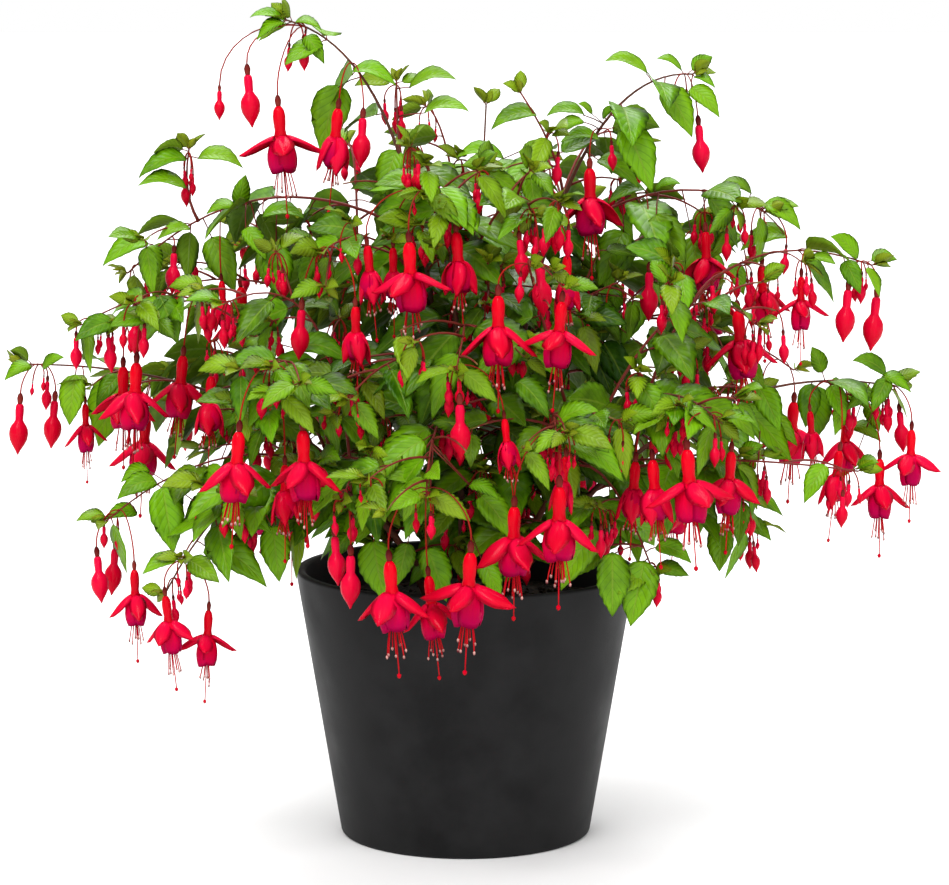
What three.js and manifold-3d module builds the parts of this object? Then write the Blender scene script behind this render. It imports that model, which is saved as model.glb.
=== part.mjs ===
// A bush fuchsia in a plain tapered planter, in millimetres with +Z up.
// The origin is the middle of the pot's underside, and -Y is the front.

import * as THREE from 'three';
import { mergeVertices } from 'three/addons/utils/BufferGeometryUtils.js';
import Module from 'manifold-3d';

const wasm = await Module();
wasm.setup();

// Driving sizes of the pot and its compost
const POT_HEIGHT = 197;
const POT_RIM_RADIUS = 125;
const POT_FOOT_RADIUS = 92;
const POT_WALL = 7;
const POT_FLOOR = 6;
const POT_SIDES = 32;
const LIP_ROUND = 2.2;
const FOOT_ROUND = 2.5;
const COMPOST_LEVEL = 172;
const COMPOST_SIDES = 16;
const SEAT_GAP = 0.3;
const ROOT_DEPTH = 45;
const ROOT_NECK = 5;

// Driving sizes of the plant
const TRUNK_RADIUS = 3.4;
const SHOOT_RADIUS = 2.0;
const TIP_RADIUS = 0.8;
const TRUNK_STEPS = 7;
const SHOOT_STEP = 45;
const SHOOT_TURN = 0.3;
const LEAF_LENGTH = 47;
const LEAF_WIDTH = 27;
const LEAF_STALK = 9;
const LEAF_THICK = 1.3;
const LEAF_HANG = 0.75;
const YOUNG_SIZE = 0.55;
const LEAFY_SHARE = 0.75;
const BARE_BELOW = 245;
const LEAF_SPACING = 52;
const LEAF_FORWARD = 0.55;
const LAST_PAIR = 0.985;
const MATE_TURN = 0.9;
const PEDICEL_RADIUS = 0.8;
const PEDICEL_REACH = 0.6;
const PEDICEL_FALL = 0.15;
const PEDICEL_JOIN = 0.55;
const JOINT_RADIUS = 1.7;
const JOINT_LOW = 10;
const SEATING_STEPS = 4;
const CLEAR = 0.45;
const TRIM = 0.12;

const NEARLY_ALONG = 0.9;

const up = new THREE.Vector3(0, 0, 1);
const vec = (x, y, z) => new THREE.Vector3(x, y, z);

// A repeatable draw between 0 and 1, the same wherever it is asked for again
function draw(a, b, c) {
  const wave = Math.sin(a * 12.9898 + b * 78.233 + c * 37.719) * 43758.5453;
  return wave - Math.floor(wave);
}

// A closed skin that is put together ring by ring
class Skin {
  constructor() {
    this.points = [];
    this.faces = [];
  }

  ring(points) {
    const start = this.points.length;
    this.points.push(...points);
    return points.map((point, i) => start + i);
  }

  // Where each corner of a ring lies from the ring's middle
  spokes(loop) {
    const corners = loop.map((index) => this.points[index]);
    const middle = corners.reduce((sum, p) => sum.add(p), vec(0, 0, 0)).divideScalar(loop.length);
    return corners.map((corner) => corner.clone().sub(middle));
  }

  // The ring begun at the corner that lies the same way as the first corner of the last ring
  linedUp(loop, last) {
    const [way] = this.spokes(last);
    const ahead = this.spokes(loop).map((spoke) => spoke.dot(way));
    const first = ahead.indexOf(Math.max(...ahead));
    return [...loop.slice(first), ...loop.slice(0, first)];
  }

  bridge(near, ring) {
    const far = this.linedUp(ring, near);
    let i = 0;
    let j = 0;
    const a = near.length;
    const b = far.length;
    while (i < a || (j < b && b > 1)) {
      const stepNear = i < a && (b === 1 || j >= b || (i + 1) / a <= (j + 1) / b + 1e-9);
      if (stepNear) {
        this.faces.push([near[i], near[(i + 1) % a], far[j % b]]);
        i += 1;
      } else {
        this.faces.push([near[i % a], far[(j + 1) % b], far[j]]);
        j += 1;
      }
    }
  }

  // Faces from one point to a ring that the skin goes on from
  open(point, loop) {
    loop.forEach((corner, i) => this.faces.push([point, loop[(i + 1) % loop.length], corner]));
  }

  cap(loop, facesAlong) {
    for (let i = 1; i < loop.length - 1; i += 1) {
      const face = [loop[0], loop[i], loop[i + 1]];
      this.faces.push(facesAlong ? face : face.reverse());
    }
  }

  // The skin as a solid, with its faces turned to point outwards
  solid() {
    let volume = 0;
    for (const [a, b, c] of this.faces) {
      volume += this.points[a].dot(this.points[b].clone().cross(this.points[c]));
    }
    const faces = volume < 0 ? this.faces.map((face) => [...face].reverse()) : this.faces;
    const vertProperties = new Float32Array(this.points.flatMap((p) => [p.x, p.y, p.z]));
    const triVerts = new Uint32Array(faces.flat());
    return new wasm.Manifold(new wasm.Mesh({ numProp: 3, vertProperties, triVerts }));
  }
}

// A solid from a closed three.js geometry, and a geometry from a solid
function solidFrom(geometry) {
  geometry.deleteAttribute('normal');
  geometry.deleteAttribute('uv');
  const merged = mergeVertices(geometry, 1e-4);
  const vertProperties = new Float32Array(merged.attributes.position.array);
  const triVerts = new Uint32Array(merged.index.array);
  return new wasm.Manifold(new wasm.Mesh({ numProp: 3, vertProperties, triVerts }));
}

function geometryFrom(solid) {
  const mesh = solid.getMesh();
  const geometry = new THREE.BufferGeometry();
  geometry.setAttribute('position', new THREE.BufferAttribute(mesh.vertProperties.slice(), 3));
  geometry.setIndex(new THREE.BufferAttribute(mesh.triVerts.slice(), 1));
  geometry.computeVertexNormals();
  return geometry;
}

// The pot: a turned wall with a rounded lip and a small round at the foot
function potRadiusAt(height) {
  return POT_FOOT_RADIUS + (POT_RIM_RADIUS - POT_FOOT_RADIUS) * height / POT_HEIGHT;
}

function potSolid() {
  const innerFloor = potRadiusAt(POT_FLOOR) - POT_WALL;
  const innerRim = POT_RIM_RADIUS - POT_WALL;
  const profile = [
    [0, 0],
    [POT_FOOT_RADIUS - FOOT_ROUND, 0],
    [POT_FOOT_RADIUS, FOOT_ROUND],
    [POT_RIM_RADIUS, POT_HEIGHT - LIP_ROUND],
    [POT_RIM_RADIUS - LIP_ROUND, POT_HEIGHT],
    [innerRim + LIP_ROUND, POT_HEIGHT],
    [innerRim, POT_HEIGHT - LIP_ROUND],
    [innerFloor, POT_FLOOR],
    [0, POT_FLOOR],
  ].map(([r, z]) => new THREE.Vector2(r, z));
  const turned = new THREE.LatheGeometry(profile, POT_SIDES);
  turned.rotateX(Math.PI / 2);
  return solidFrom(turned);
}

// Stems: a curve from a start, past a control point, to a tip
const TRUNKS = [
  {
    name: 'top_left',
    root: [-16, 8],
    control: [-9, -10, 566],
    tip: [-128, -25, 602],
    shoots: [
      { name: 'crown_twig', from: 'trunk', at: 0.53, control: [-50, 10, 510], tip: [-50, 12, 552] },
      { name: 'left_arch', from: 'trunk', at: 0.42, control: [-150, 30, 508], tip: [-248, 25, 412] },
      { name: 'left_twig', from: 'left_arch', at: 0.74, control: [-208, 25, 470], tip: [-202, 22, 502] },
      { name: 'left_inner', from: 'trunk', at: 0.32, control: [-60, -60, 470], tip: [-100, -95, 437] },
    ],
  },
  {
    name: 'top_right',
    root: [14, 10],
    control: [53, 20, 565],
    tip: [164, 0, 558],
    shoots: [
      { name: 'right_arch', from: 'trunk', at: 0.42, control: [149, 0, 500], tip: [215, -20, 460] },
      { name: 'crown_right', from: 'trunk', at: 0.5, control: [70, -20, 500], tip: [40, -30, 545] },
      { name: 'behind_right', from: 'trunk', at: 0.46, control: [90, 90, 540], tip: [130, 120, 500] },
    ],
  },
  {
    name: 'right',
    root: [30, -2],
    control: [157, -20, 364],
    tip: [313, -10, 332],
    shoots: [
      { name: 'right_upper', from: 'trunk', at: 0.35, control: [153, -40, 474], tip: [290, -50, 424] },
      { name: 'right_lower', from: 'trunk', at: 0.3, control: [167, -50, 292], tip: [279, -80, 280] },
      { name: 'right_drooping', from: 'trunk', at: 0.25, control: [165, 20, 285], tip: [212, 25, 222] },
    ],
  },
  {
    name: 'left',
    root: [-30, 4],
    control: [-102, 25, 345],
    tip: [-326, 20, 345],
    shoots: [
      { name: 'left_upper', from: 'trunk', at: 0.35, control: [-165, -20, 450], tip: [-275, -35, 380] },
      { name: 'left_lower', from: 'trunk', at: 0.3, control: [-170, -50, 316], tip: [-256, -70, 243] },
      { name: 'left_behind', from: 'trunk', at: 0.4, control: [-170, 90, 390], tip: [-240, 110, 320] },
    ],
  },
  {
    name: 'front_left',
    root: [-20, -16],
    control: [-124, -90, 366],
    tip: [-210, -120, 200],
    shoots: [
      { name: 'front_left_upper', from: 'trunk', at: 0.35, control: [-110, -125, 385], tip: [-132, -165, 364] },
      { name: 'front_left_lower', from: 'trunk', at: 0.22, control: [-60, -130, 335], tip: [-84, -172, 274] },
      { name: 'front_left_high', from: 'trunk', at: 0.3, control: [-90, -60, 440], tip: [-170, -90, 400] },
    ],
  },
  {
    name: 'front_right',
    root: [24, -18],
    control: [110, -100, 390],
    tip: [174, -155, 326],
    shoots: [
      { name: 'over_the_rim', from: 'trunk', at: 0.3, control: [100, -80, 300], tip: [132, -112, 214] },
      { name: 'front_right_high', from: 'trunk', at: 0.35, control: [36, -115, 455], tip: [45, -150, 432] },
      { name: 'front_right_low', from: 'trunk', at: 0.22, control: [60, -130, 360], tip: [62, -188, 318] },
      { name: 'right_inner', from: 'trunk', at: 0.4, control: [150, -70, 440], tip: [205, -85, 385] },
    ],
  },
  {
    name: 'front',
    root: [-2, -26],
    control: [-5, -40, 530],
    tip: [-28, -110, 478],
    shoots: [
      { name: 'front_high', from: 'trunk', at: 0.42, control: [35, -70, 505], tip: [47, -108, 464] },
      { name: 'front_middle', from: 'trunk', at: 0.34, control: [5, -130, 410], tip: [-6, -168, 362] },
      { name: 'front_low', from: 'trunk', at: 0.24, control: [-25, -160, 335], tip: [-26, -200, 280] },
      { name: 'front_left_mid', from: 'trunk', at: 0.3, control: [-50, -110, 380], tip: [-80, -150, 340] },
    ],
  },
  {
    name: 'back_left',
    root: [-18, 26],
    control: [-70, 80, 480],
    tip: [-170, 150, 420],
    shoots: [
      { name: 'back_left_low', from: 'trunk', at: 0.3, control: [-110, 150, 340], tip: [-150, 200, 250] },
      { name: 'back_left_side', from: 'trunk', at: 0.4, control: [-150, 90, 420], tip: [-230, 130, 390] },
      { name: 'back_left_top', from: 'trunk', at: 0.5, control: [-80, 100, 500], tip: [-90, 140, 500] },
    ],
  },
  {
    name: 'back_right',
    root: [20, 28],
    control: [80, 90, 480],
    tip: [190, 150, 430],
    shoots: [
      { name: 'back_right_low', from: 'trunk', at: 0.3, control: [120, 150, 350], tip: [160, 200, 260] },
      { name: 'back_right_side', from: 'trunk', at: 0.38, control: [160, 80, 400], tip: [250, 110, 330] },
      { name: 'back_right_top', from: 'trunk', at: 0.5, control: [60, 110, 510], tip: [60, 150, 490] },
    ],
  },
  {
    name: 'back',
    root: [0, 36],
    control: [0, 110, 470],
    tip: [8, 220, 400],
    shoots: [
      { name: 'back_low_left', from: 'trunk', at: 0.28, control: [-40, 170, 340], tip: [-60, 225, 260] },
      { name: 'back_low_right', from: 'trunk', at: 0.33, control: [60, 170, 360], tip: [85, 230, 290] },
      { name: 'back_top', from: 'trunk', at: 0.5, control: [-10, 110, 520], tip: [-30, 120, 530] },
    ],
  },
  {
    name: 'heart',
    root: [3, 6],
    control: [8, 0, 400],
    tip: [15, 15, 535],
    shoots: [
      { name: 'heart_left', from: 'trunk', at: 0.45, control: [-40, 20, 400], tip: [-90, 40, 400] },
      { name: 'heart_front', from: 'trunk', at: 0.5, control: [20, -40, 420], tip: [15, -90, 400] },
      { name: 'heart_right', from: 'trunk', at: 0.4, control: [70, 10, 390], tip: [110, -30, 410] },
      { name: 'heart_back', from: 'trunk', at: 0.55, control: [0, 60, 420], tip: [-20, 100, 440] },
    ],
  },
];

// A stem bends in straight pieces, so that what grows on it meets its real surface
class Stem {
  constructor(name, start, control, tip, radius, steps) {
    const curve = new THREE.QuadraticBezierCurve3(start, vec(...control), vec(...tip));
    this.name = name;
    this.radius = radius;
    this.steps = steps;
    this.line = curve.getPoints(steps);
    this.length = curve.getLength();
  }

  pointAt(t) {
    const step = Math.min(this.steps - 1, Math.floor(t * this.steps));
    return this.line[step].clone().lerp(this.line[step + 1], t * this.steps - step);
  }

  alongAt(t) {
    const step = Math.min(this.steps - 1, Math.floor(t * this.steps));
    return this.line[step + 1].clone().sub(this.line[step]).normalize();
  }

  radiusAt(t) {
    return this.radius + (TIP_RADIUS - this.radius) * t;
  }
}

// The trunk from just above the compost, then every shoot from its place on an earlier one
function stemsOf(trunk) {
  const root = vec(trunk.root[0], trunk.root[1], COMPOST_LEVEL + ROOT_NECK);
  const stems = [
    new Stem('trunk', root, trunk.control, trunk.tip, TRUNK_RADIUS, TRUNK_STEPS),
  ];
  for (const { name, from, at, control, tip } of trunk.shoots) {
    const start = stems.find((stem) => stem.name === from).pointAt(at);
    const reach = start.distanceTo(vec(...tip));
    const steps = Math.max(3, Math.round(reach / SHOOT_STEP));
    stems.push(new Stem(name, start, control, tip, SHOOT_RADIUS, steps));
  }
  return stems;
}

// Two directions across a line, the first as level as the line allows
function acrossLine(along) {
  const side = vec(0, 1, 0);
  if (Math.abs(along.y) > NEARLY_ALONG) side.set(1, 0, 0);
  side.cross(along).normalize();
  return [side, along.clone().cross(side).normalize()];
}

function ringAt(centre, along, radius, sides, turn = 0) {
  const [side, other] = acrossLine(along);
  const points = [];
  for (let i = 0; i < sides; i += 1) {
    const angle = turn + (i / sides) * 2 * Math.PI;
    points.push(centre.clone()
      .addScaledVector(side, Math.cos(angle) * radius)
      .addScaledVector(other, Math.sin(angle) * radius));
  }
  return points;
}

function stemSolid(stem) {
  const rooted = stem.name === 'trunk';
  const sides = rooted ? 4 : 3;
  const turn = rooted ? 0 : SHOOT_TURN;
  const skin = new Skin();
  const rings = stem.line.slice(0, -1).map((point, step) => (
    ringAt(point, stem.alongAt(step / stem.steps), stem.radiusAt(step / stem.steps), sides, turn)));
  if (rooted) {
    const foot = stem.line[0].clone().addScaledVector(up, -ROOT_DEPTH - ROOT_NECK);
    rings[0] = ringAt(stem.line[0], up, stem.radius, sides);
    rings.unshift(ringAt(foot, up, stem.radius, sides));
  }
  let last = skin.ring(rings[0]);
  skin.cap(last, false);
  for (const points of rings.slice(1)) {
    const ring = skin.ring(points);
    skin.bridge(last, ring);
    last = ring;
  }
  skin.bridge(last, skin.ring([stem.line[stem.steps]]));
  return skin.solid();
}

// Leaves: a toothed, arched blade on a short stalk, thick along its rib and thin at its edge.
// Each half outline is a list of [share of the length, share of the width].
const LARGE_EDGE = [[0.22, 0.38], [0.46, 0.5], [0.52, 0.41], [0.74, 0.33]];
const SMALL_EDGE = [[0.25, 0.4], [0.55, 0.47], [0.61, 0.35]];
const RIB_SHARE = 0.45;

function leafSolid({ base, out, size, droop, lift }) {
  const edge = size < 0.7 ? SMALL_EDGE : LARGE_EDGE;
  const side = out.clone().cross(up).normalize();
  const top = side.clone().cross(out).normalize();
  const place = (share, across, high) => {
    const run = share > 0 ? LEAF_STALK + share * LEAF_LENGTH : 0;
    return base.clone()
      .addScaledVector(out, run * size)
      .addScaledVector(side, across * LEAF_WIDTH * size)
      .addScaledVector(top, high + Math.abs(across) * lift * LEAF_WIDTH * size)
      .addScaledVector(up, -droop * share * share * LEAF_LENGTH * size);
  };
  const skin = new Skin();
  const [foot] = skin.ring([place(0, 0, 0)]);
  const right = skin.ring(edge.map(([share, wide]) => place(share, wide, 0)));
  const [tip] = skin.ring([place(1.02, 0, 0)]);
  const left = skin.ring(edge.map(([share, wide]) => place(share, -wide, 0)));
  const outline = [foot, ...right, tip, ...left.reverse()];
  skin.bridge(outline, skin.ring([place(RIB_SHARE, 0, LEAF_THICK / 2)]));
  skin.open(skin.ring([place(RIB_SHARE, 0, -LEAF_THICK / 2)])[0], outline);
  return skin.solid();
}

// Where pairs of leaves grow along a stem, each pair a quarter turn from the one before
function leafPlaces(stem, seed) {
  const pairs = Math.max(1, Math.floor(stem.length * LEAFY_SHARE / LEAF_SPACING));
  const places = [];
  for (let pair = 0; pair < pairs; pair += 1) {
    const t = LAST_PAIR - (pair * LEAF_SPACING) / stem.length;
    if (stem.name === 'trunk' && stem.pointAt(t).z < BARE_BELOW) continue;
    for (const way of [0, 1]) {
      places.push({
        t,
        pair: `${seed} ${pair}`,
        turn: (pair % 2) * Math.PI / 2 + (draw(seed, pair, 1) - 0.5) * MATE_TURN + way * Math.PI,
        size: Math.min(1, 0.5 + pair * 0.3) * (0.82 + 0.36 * draw(seed, pair, 2 + way)),
        droop: 0.18 + 0.3 * draw(seed, pair, 4 + way),
        lift: 0.1 + 0.2 * draw(seed, pair, 6 + way),
      });
    }
  }
  return places;
}

// A leaf grows outwards and on along its stem, and its blade tends to lie level
function leafOn(stem, { t, turn, size, droop, lift }) {
  const along = stem.alongAt(t);
  const [side, other] = acrossLine(along);
  const out = side.multiplyScalar(Math.cos(turn))
    .addScaledVector(other, Math.sin(turn))
    .addScaledVector(along, LEAF_FORWARD)
    .normalize();
  out.z = out.z * 0.5 - LEAF_HANG * (size - YOUNG_SIZE);
  return { base: stem.pointAt(t), out: out.normalize(), size, droop, lift };
}

// Flowers hang from the leaf joints. Each row is a kind, how far the ovary hangs to the
// right and back of the joint, how far below it, and its size.
const SPRAYS = [
  { trunk: 'top_left', stem: 'trunk', at: 0.94, hang: [
    ['wide', -20, -10, 36, 1],
    ['bud', -42, -5, 16, 1],
    ['small', -62, 0, 30, 0.9],
  ] },
  { trunk: 'top_left', stem: 'trunk', at: 0.78, hang: [
    ['half', -8, -18, 12, 0.95],
    ['bud', 16, -14, 20, 1],
  ] },
  { trunk: 'top_right', stem: 'trunk', at: 0.97, hang: [
    ['bud', 10, -6, 28, 1],
  ] },
  { trunk: 'top_right', stem: 'trunk', at: 0.66, hang: [
    ['open', -8, -32, 16, 1],
    ['small', 8, -20, 4, 0.8],
  ] },
  { trunk: 'top_right', stem: 'right_arch', at: 0.42, hang: [
    ['bud', 2, -32, 44, 0.95],
  ] },
  { trunk: 'top_right', stem: 'right_arch', at: 0.68, hang: [
    ['open', 4, 6, 22, 0.9],
  ] },
  { trunk: 'top_right', stem: 'right_arch', at: 0.97, hang: [
    ['open', 4, 12, 34, 0.9],
    ['small', 20, -8, 24, 0.8],
  ] },
  { trunk: 'right', stem: 'right_upper', at: 0.5, hang: [
    ['open', 12, -28, 10, 1],
  ] },
  { trunk: 'right', stem: 'right_upper', at: 0.82, hang: [
    ['wide', -6, -16, 10, 0.8],
  ] },
  { trunk: 'right', stem: 'right_upper', at: 0.97, hang: [
    ['bud', -10, -14, 10, 1],
    ['bud', 12, 0, 16, 1.05],
  ] },
  { trunk: 'top_left', stem: 'left_arch', at: 0.86, hang: [
    ['bud', 8, -20, 0, 0.8],
    ['bud', 20, 8, 12, 0.85],
  ] },
  { trunk: 'top_left', stem: 'left_arch', at: 0.66, hang: [
    ['half', 0, -10, 44, 0.75],
  ] },
  { trunk: 'left', stem: 'left_upper', at: 0.78, hang: [
    ['bud', -8, -16, 2, 0.85],
    ['open', -6, -22, 36, 1],
    ['open', -20, 18, 44, 0.95],
  ] },
  { trunk: 'left', stem: 'left_upper', at: 0.97, hang: [
    ['small', 12, -6, 6, 1.1],
    ['small', -12, 6, 8, 1],
  ] },
  { trunk: 'left', stem: 'left_upper', at: 0.6, hang: [
    ['open', -10, 6, 34, 0.95],
    ['half', 12, -22, 46, 0.9],
  ] },
  { trunk: 'left', stem: 'trunk', at: 0.97, hang: [
    ['bud', -14, -6, 20, 1],
    ['bud', 10, 8, 20, 0.95],
  ] },
  { trunk: 'left', stem: 'trunk', at: 0.9, hang: [
    ['half', 4, -10, 20, 0.8],
  ] },
  { trunk: 'left', stem: 'left_lower', at: 0.95, hang: [
    ['bud', -16, -6, 24, 0.9],
    ['bud', -4, 14, 22, 0.9],
    ['open', 12, -18, 30, 0.95],
  ] },
  { trunk: 'front_left', stem: 'trunk', at: 0.93, hang: [
    ['wide', 20, -4, 14, 0.95],
    ['open', -12, -18, 2, 1],
  ] },
  { trunk: 'front_left', stem: 'front_left_upper', at: 0.97, hang: [
    ['open', -22, -18, 34, 1],
    ['open', 20, -12, 34, 1],
    ['half', 6, 24, 64, 0.85],
  ] },
  { trunk: 'front', stem: 'trunk', at: 0.97, hang: [
    ['wide', -12, -32, 24, 1],
    ['half', 20, 0, 20, 0.95],
    ['half', -42, -2, 30, 0.85],
    ['half', -24, 26, 34, 0.8],
  ] },
  { trunk: 'top_left', stem: 'left_inner', at: 0.95, hang: [
    ['bud', -18, -6, 34, 0.95],
    ['half', 20, -32, 30, 0.85],
  ] },
  { trunk: 'front', stem: 'front_high', at: 0.95, hang: [
    ['bud', -8, -10, 12, 0.8],
    ['half', 26, 6, 24, 0.85],
    ['bud', 6, -18, 26, 1],
  ] },
  { trunk: 'front_right', stem: 'front_right_high', at: 0.97, hang: [
    ['open', -22, -6, 12, 1],
    ['wide', 22, -10, 16, 0.95],
  ] },
  { trunk: 'front', stem: 'front_middle', at: 0.97, hang: [
    ['bud', 2, -12, 16, 1],
    ['half', 32, 6, 30, 0.75],
  ] },
  { trunk: 'front_right', stem: 'front_right_low', at: 0.95, hang: [
    ['half', 8, 26, 12, 0.8],
    ['open', 2, -22, 24, 1.05],
    ['open', -28, 4, 42, 1],
  ] },
  { trunk: 'front', stem: 'front_low', at: 0.95, hang: [
    ['open', -26, -8, 40, 1],
    ['open', 0, 20, 56, 0.9],
    ['wide', 30, -10, 34, 1.05],
  ] },
  { trunk: 'front_left', stem: 'front_left_lower', at: 0.95, hang: [
    ['bud', -8, 6, 24, 0.9],
    ['bud', 4, -8, 34, 1],
  ] },
  { trunk: 'front_right', stem: 'trunk', at: 0.96, hang: [
    ['wide', -18, -26, 12, 1.05],
    ['open', 16, 12, 20, 0.9],
    ['half', -40, 2, 24, 0.95],
  ] },
  { trunk: 'front_right', stem: 'trunk', at: 0.7, hang: [
    ['half', -14, 4, 40, 0.9],
  ] },
  { trunk: 'right', stem: 'trunk', at: 0.86, hang: [
    ['half', -20, -4, 16, 0.75],
    ['open', 10, 16, 22, 0.85],
    ['open', 32, -2, 50, 0.9],
    ['half', 0, -34, 40, 0.85],
  ] },
  { trunk: 'right', stem: 'trunk', at: 0.98, hang: [
    ['wide', 20, -12, 24, 0.9],
    ['bud', 10, 10, 14, 0.8],
  ] },
  { trunk: 'right', stem: 'right_lower', at: 0.93, hang: [
    ['small', 4, -6, 14, 1],
  ] },
  { trunk: 'back_left', stem: 'trunk', at: 0.95, hang: [
    ['open', -14, 10, 26, 1],
    ['bud', 16, 12, 20, 0.9],
  ] },
  { trunk: 'back_left', stem: 'back_left_low', at: 0.93, hang: [
    ['open', -20, 18, 20, 0.95],
    ['half', 4, 34, 30, 1],
  ] },
  { trunk: 'left', stem: 'left_behind', at: 0.93, hang: [
    ['open', -14, 10, 24, 1],
    ['bud', 14, 12, 20, 0.9],
  ] },
  { trunk: 'back_right', stem: 'trunk', at: 0.95, hang: [
    ['open', 16, 10, 24, 1],
    ['half', -18, 16, 32, 0.9],
  ] },
  { trunk: 'back_right', stem: 'back_right_low', at: 0.93, hang: [
    ['open', 14, 8, 26, 1],
    ['bud', -14, 10, 20, 0.9],
  ] },
  { trunk: 'back_right', stem: 'back_right_side', at: 0.94, hang: [
    ['open', 12, 8, 24, 1],
    ['bud', -12, 12, 16, 0.9],
  ] },
  { trunk: 'back', stem: 'trunk', at: 0.96, hang: [
    ['open', -20, 6, 24, 1],
    ['half', 17, 16, 32, 1],
  ] },
  { trunk: 'back', stem: 'back_low_left', at: 0.94, hang: [
    ['open', -12, 10, 26, 1],
    ['bud', 14, 8, 20, 0.9],
  ] },
  { trunk: 'back', stem: 'back_low_right', at: 0.94, hang: [
    ['open', 12, 10, 26, 1],
    ['bud', -14, 8, 22, 0.9],
  ] },
];

// Sizes of a flower of size 1, downwards from the top of its ovary
const OVARY_DEEP = 8;
const OVARY_RADIUS = 2.7;
const NECK_RADIUS = 1.9;
const TUBE_END = 29;
const TUBE_RADIUS = 5.4;
const SEPAL_ROOT = 5;
const COROLLA_HEM = 56;
const COROLLA_RADIUS = 10;
const SEPAL_POSE = {
  open: { out: 27, droop: 0.6 },
  wide: { out: 30, droop: 0.35 },
  half: { out: 15, droop: 1.7 },
};
const SEPAL_WIDTH = 12.5;
const SEPAL_BROADEST = 0.55;
const SEPAL_CURL = 1.25;
const SEPAL_CROWN = 2;
const STAMEN_DROP = 16;
const STAMEN_VARIES = 5;
const STYLE_DROP = 31;
const THREAD_RADIUS = 0.7;
const THREAD_SPREAD = 3;
const STIGMA_RADIUS = 1.6;
const BUD_TUBE_END = 22;
const BUD_BELLY = 32;
const BUD_TIP = 44;
const BUD_RADIUS = 6.4;
const SMALL_BUD = 0.62;

// A level ring below a point, counted round as seen from below, the way that flowers grow
function levelRing(centre, drop, radius, sides, turn) {
  const points = [];
  for (let i = 0; i < sides; i += 1) {
    const angle = turn + (i / sides) * 2 * Math.PI;
    points.push(vec(centre.x + Math.cos(angle) * radius, centre.y - Math.sin(angle) * radius,
      centre.z - drop));
  }
  return points;
}

// The eight faces of a small joint on a stem
function jointFaces(skin, joint) {
  const belt = skin.ring(levelRing(joint, 0, JOINT_RADIUS, 4, 0));
  const [high] = skin.ring([joint.clone().addScaledVector(up, JOINT_RADIUS)]);
  const [low] = skin.ring([joint.clone().addScaledVector(up, -JOINT_RADIUS)]);
  return belt.flatMap((corner, i) => {
    const next = belt[(i + 1) % 4];
    return [[high, next, corner], [corner, next, low]];
  });
}

function jointSolid(joint) {
  const skin = new Skin();
  skin.faces.push(...jointFaces(skin, joint));
  return skin.solid();
}

// The stalk of a flower, from a face of the small joint that its spray shares, out and down
// to the ovary. All flowers of a spray have the same joint, so they join into one piece.
function pedicelRings(skin, joint, top) {
  const bend = joint.clone().lerp(top, PEDICEL_REACH);
  bend.z = joint.z - (joint.z - top.z) * PEDICEL_FALL;
  const curve = new THREE.QuadraticBezierCurve3(joint, bend, top);
  const faces = jointFaces(skin, joint);
  const towards = curve.getTangent(0);
  const facing = (face) => {
    const sum = face.reduce((all, index) => all.add(skin.points[index]), vec(0, 0, 0));
    return sum.addScaledVector(joint, -3).dot(towards);
  };
  const foot = faces.reduce((best, face) => (facing(face) > facing(best) ? face : best));
  skin.faces.push(...faces.filter((face) => face !== foot));
  const along = curve.getTangent(PEDICEL_JOIN);
  const far = skin.ring(ringAt(curve.getPoint(PEDICEL_JOIN), along, PEDICEL_RADIUS, 3));
  skin.bridge(foot, far);
  return far;
}

// A thread that hangs from the middle of one face of the hem, with a head if it has a size
function thread(skin, face, to, head) {
  const corners = face.map((index) => skin.points[index]);
  const middle = corners.reduce((sum, p) => sum.add(p), vec(0, 0, 0)).divideScalar(3);
  const inset = THREAD_RADIUS / corners[0].distanceTo(middle);
  let last = skin.ring(corners.map((p) => middle.clone().lerp(p, inset)));
  skin.bridge(face, last);
  const tip = middle.clone().add(to);
  if (head > 0) {
    const belt = skin.ring(levelRing(tip, -head * 1.5, head, 3, 0));
    skin.bridge(last, belt);
    last = belt;
  }
  skin.bridge(last, skin.ring([tip]));
}

// An open flower: stalk, ovary, tube, four spread sepals, corolla, stamens and style
function openFlower(joint, top, size, turn, kind, full) {
  const s = size;
  const skin = new Skin();
  let last = pedicelRings(skin, joint, top);
  const level = (drop, radius, sides, angle = turn) => (
    skin.ring(levelRing(top, drop * s, radius * s, sides, angle)));
  const grow = (ring) => {
    skin.bridge(last, ring);
    last = ring;
  };
  grow(level(OVARY_DEEP * 0.5, OVARY_RADIUS, 4));
  grow(level(OVARY_DEEP, NECK_RADIUS, 4));
  grow(level(TUBE_END, TUBE_RADIUS, 4));
  const above = last;
  const below = level(TUBE_END + SEPAL_ROOT, TUBE_RADIUS, 4);
  for (let i = 0; i < 4; i += 1) {
    sepal(skin, [above[i], above[(i + 1) % 4], below[(i + 1) % 4], below[i]], {
      top, s, angle: turn + (i + 0.5) * Math.PI / 2, ...SEPAL_POSE[kind],
    });
  }
  last = below;
  grow(level(COROLLA_HEM, COROLLA_RADIUS, 6));
  for (let i = 0; i < 4; i += 1) {
    const face = [last[0], last[i + 1], last[i + 2]];
    const angle = turn + (i / 4) * 2 * Math.PI;
    const spread = vec(Math.cos(angle), Math.sin(angle), 0).multiplyScalar(THREAD_SPREAD * s);
    const drop = STAMEN_DROP + STAMEN_VARIES * draw(top.x, top.y, i);
    if (i === 1) thread(skin, face, vec(0, 0, -STYLE_DROP * s), STIGMA_RADIUS);
    else if (kind !== 'half' && (i === 2 || full)) thread(skin, face, spread.setZ(-drop * s), 0);
    else skin.faces.push(face);
  }
  return skin.solid();
}

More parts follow.
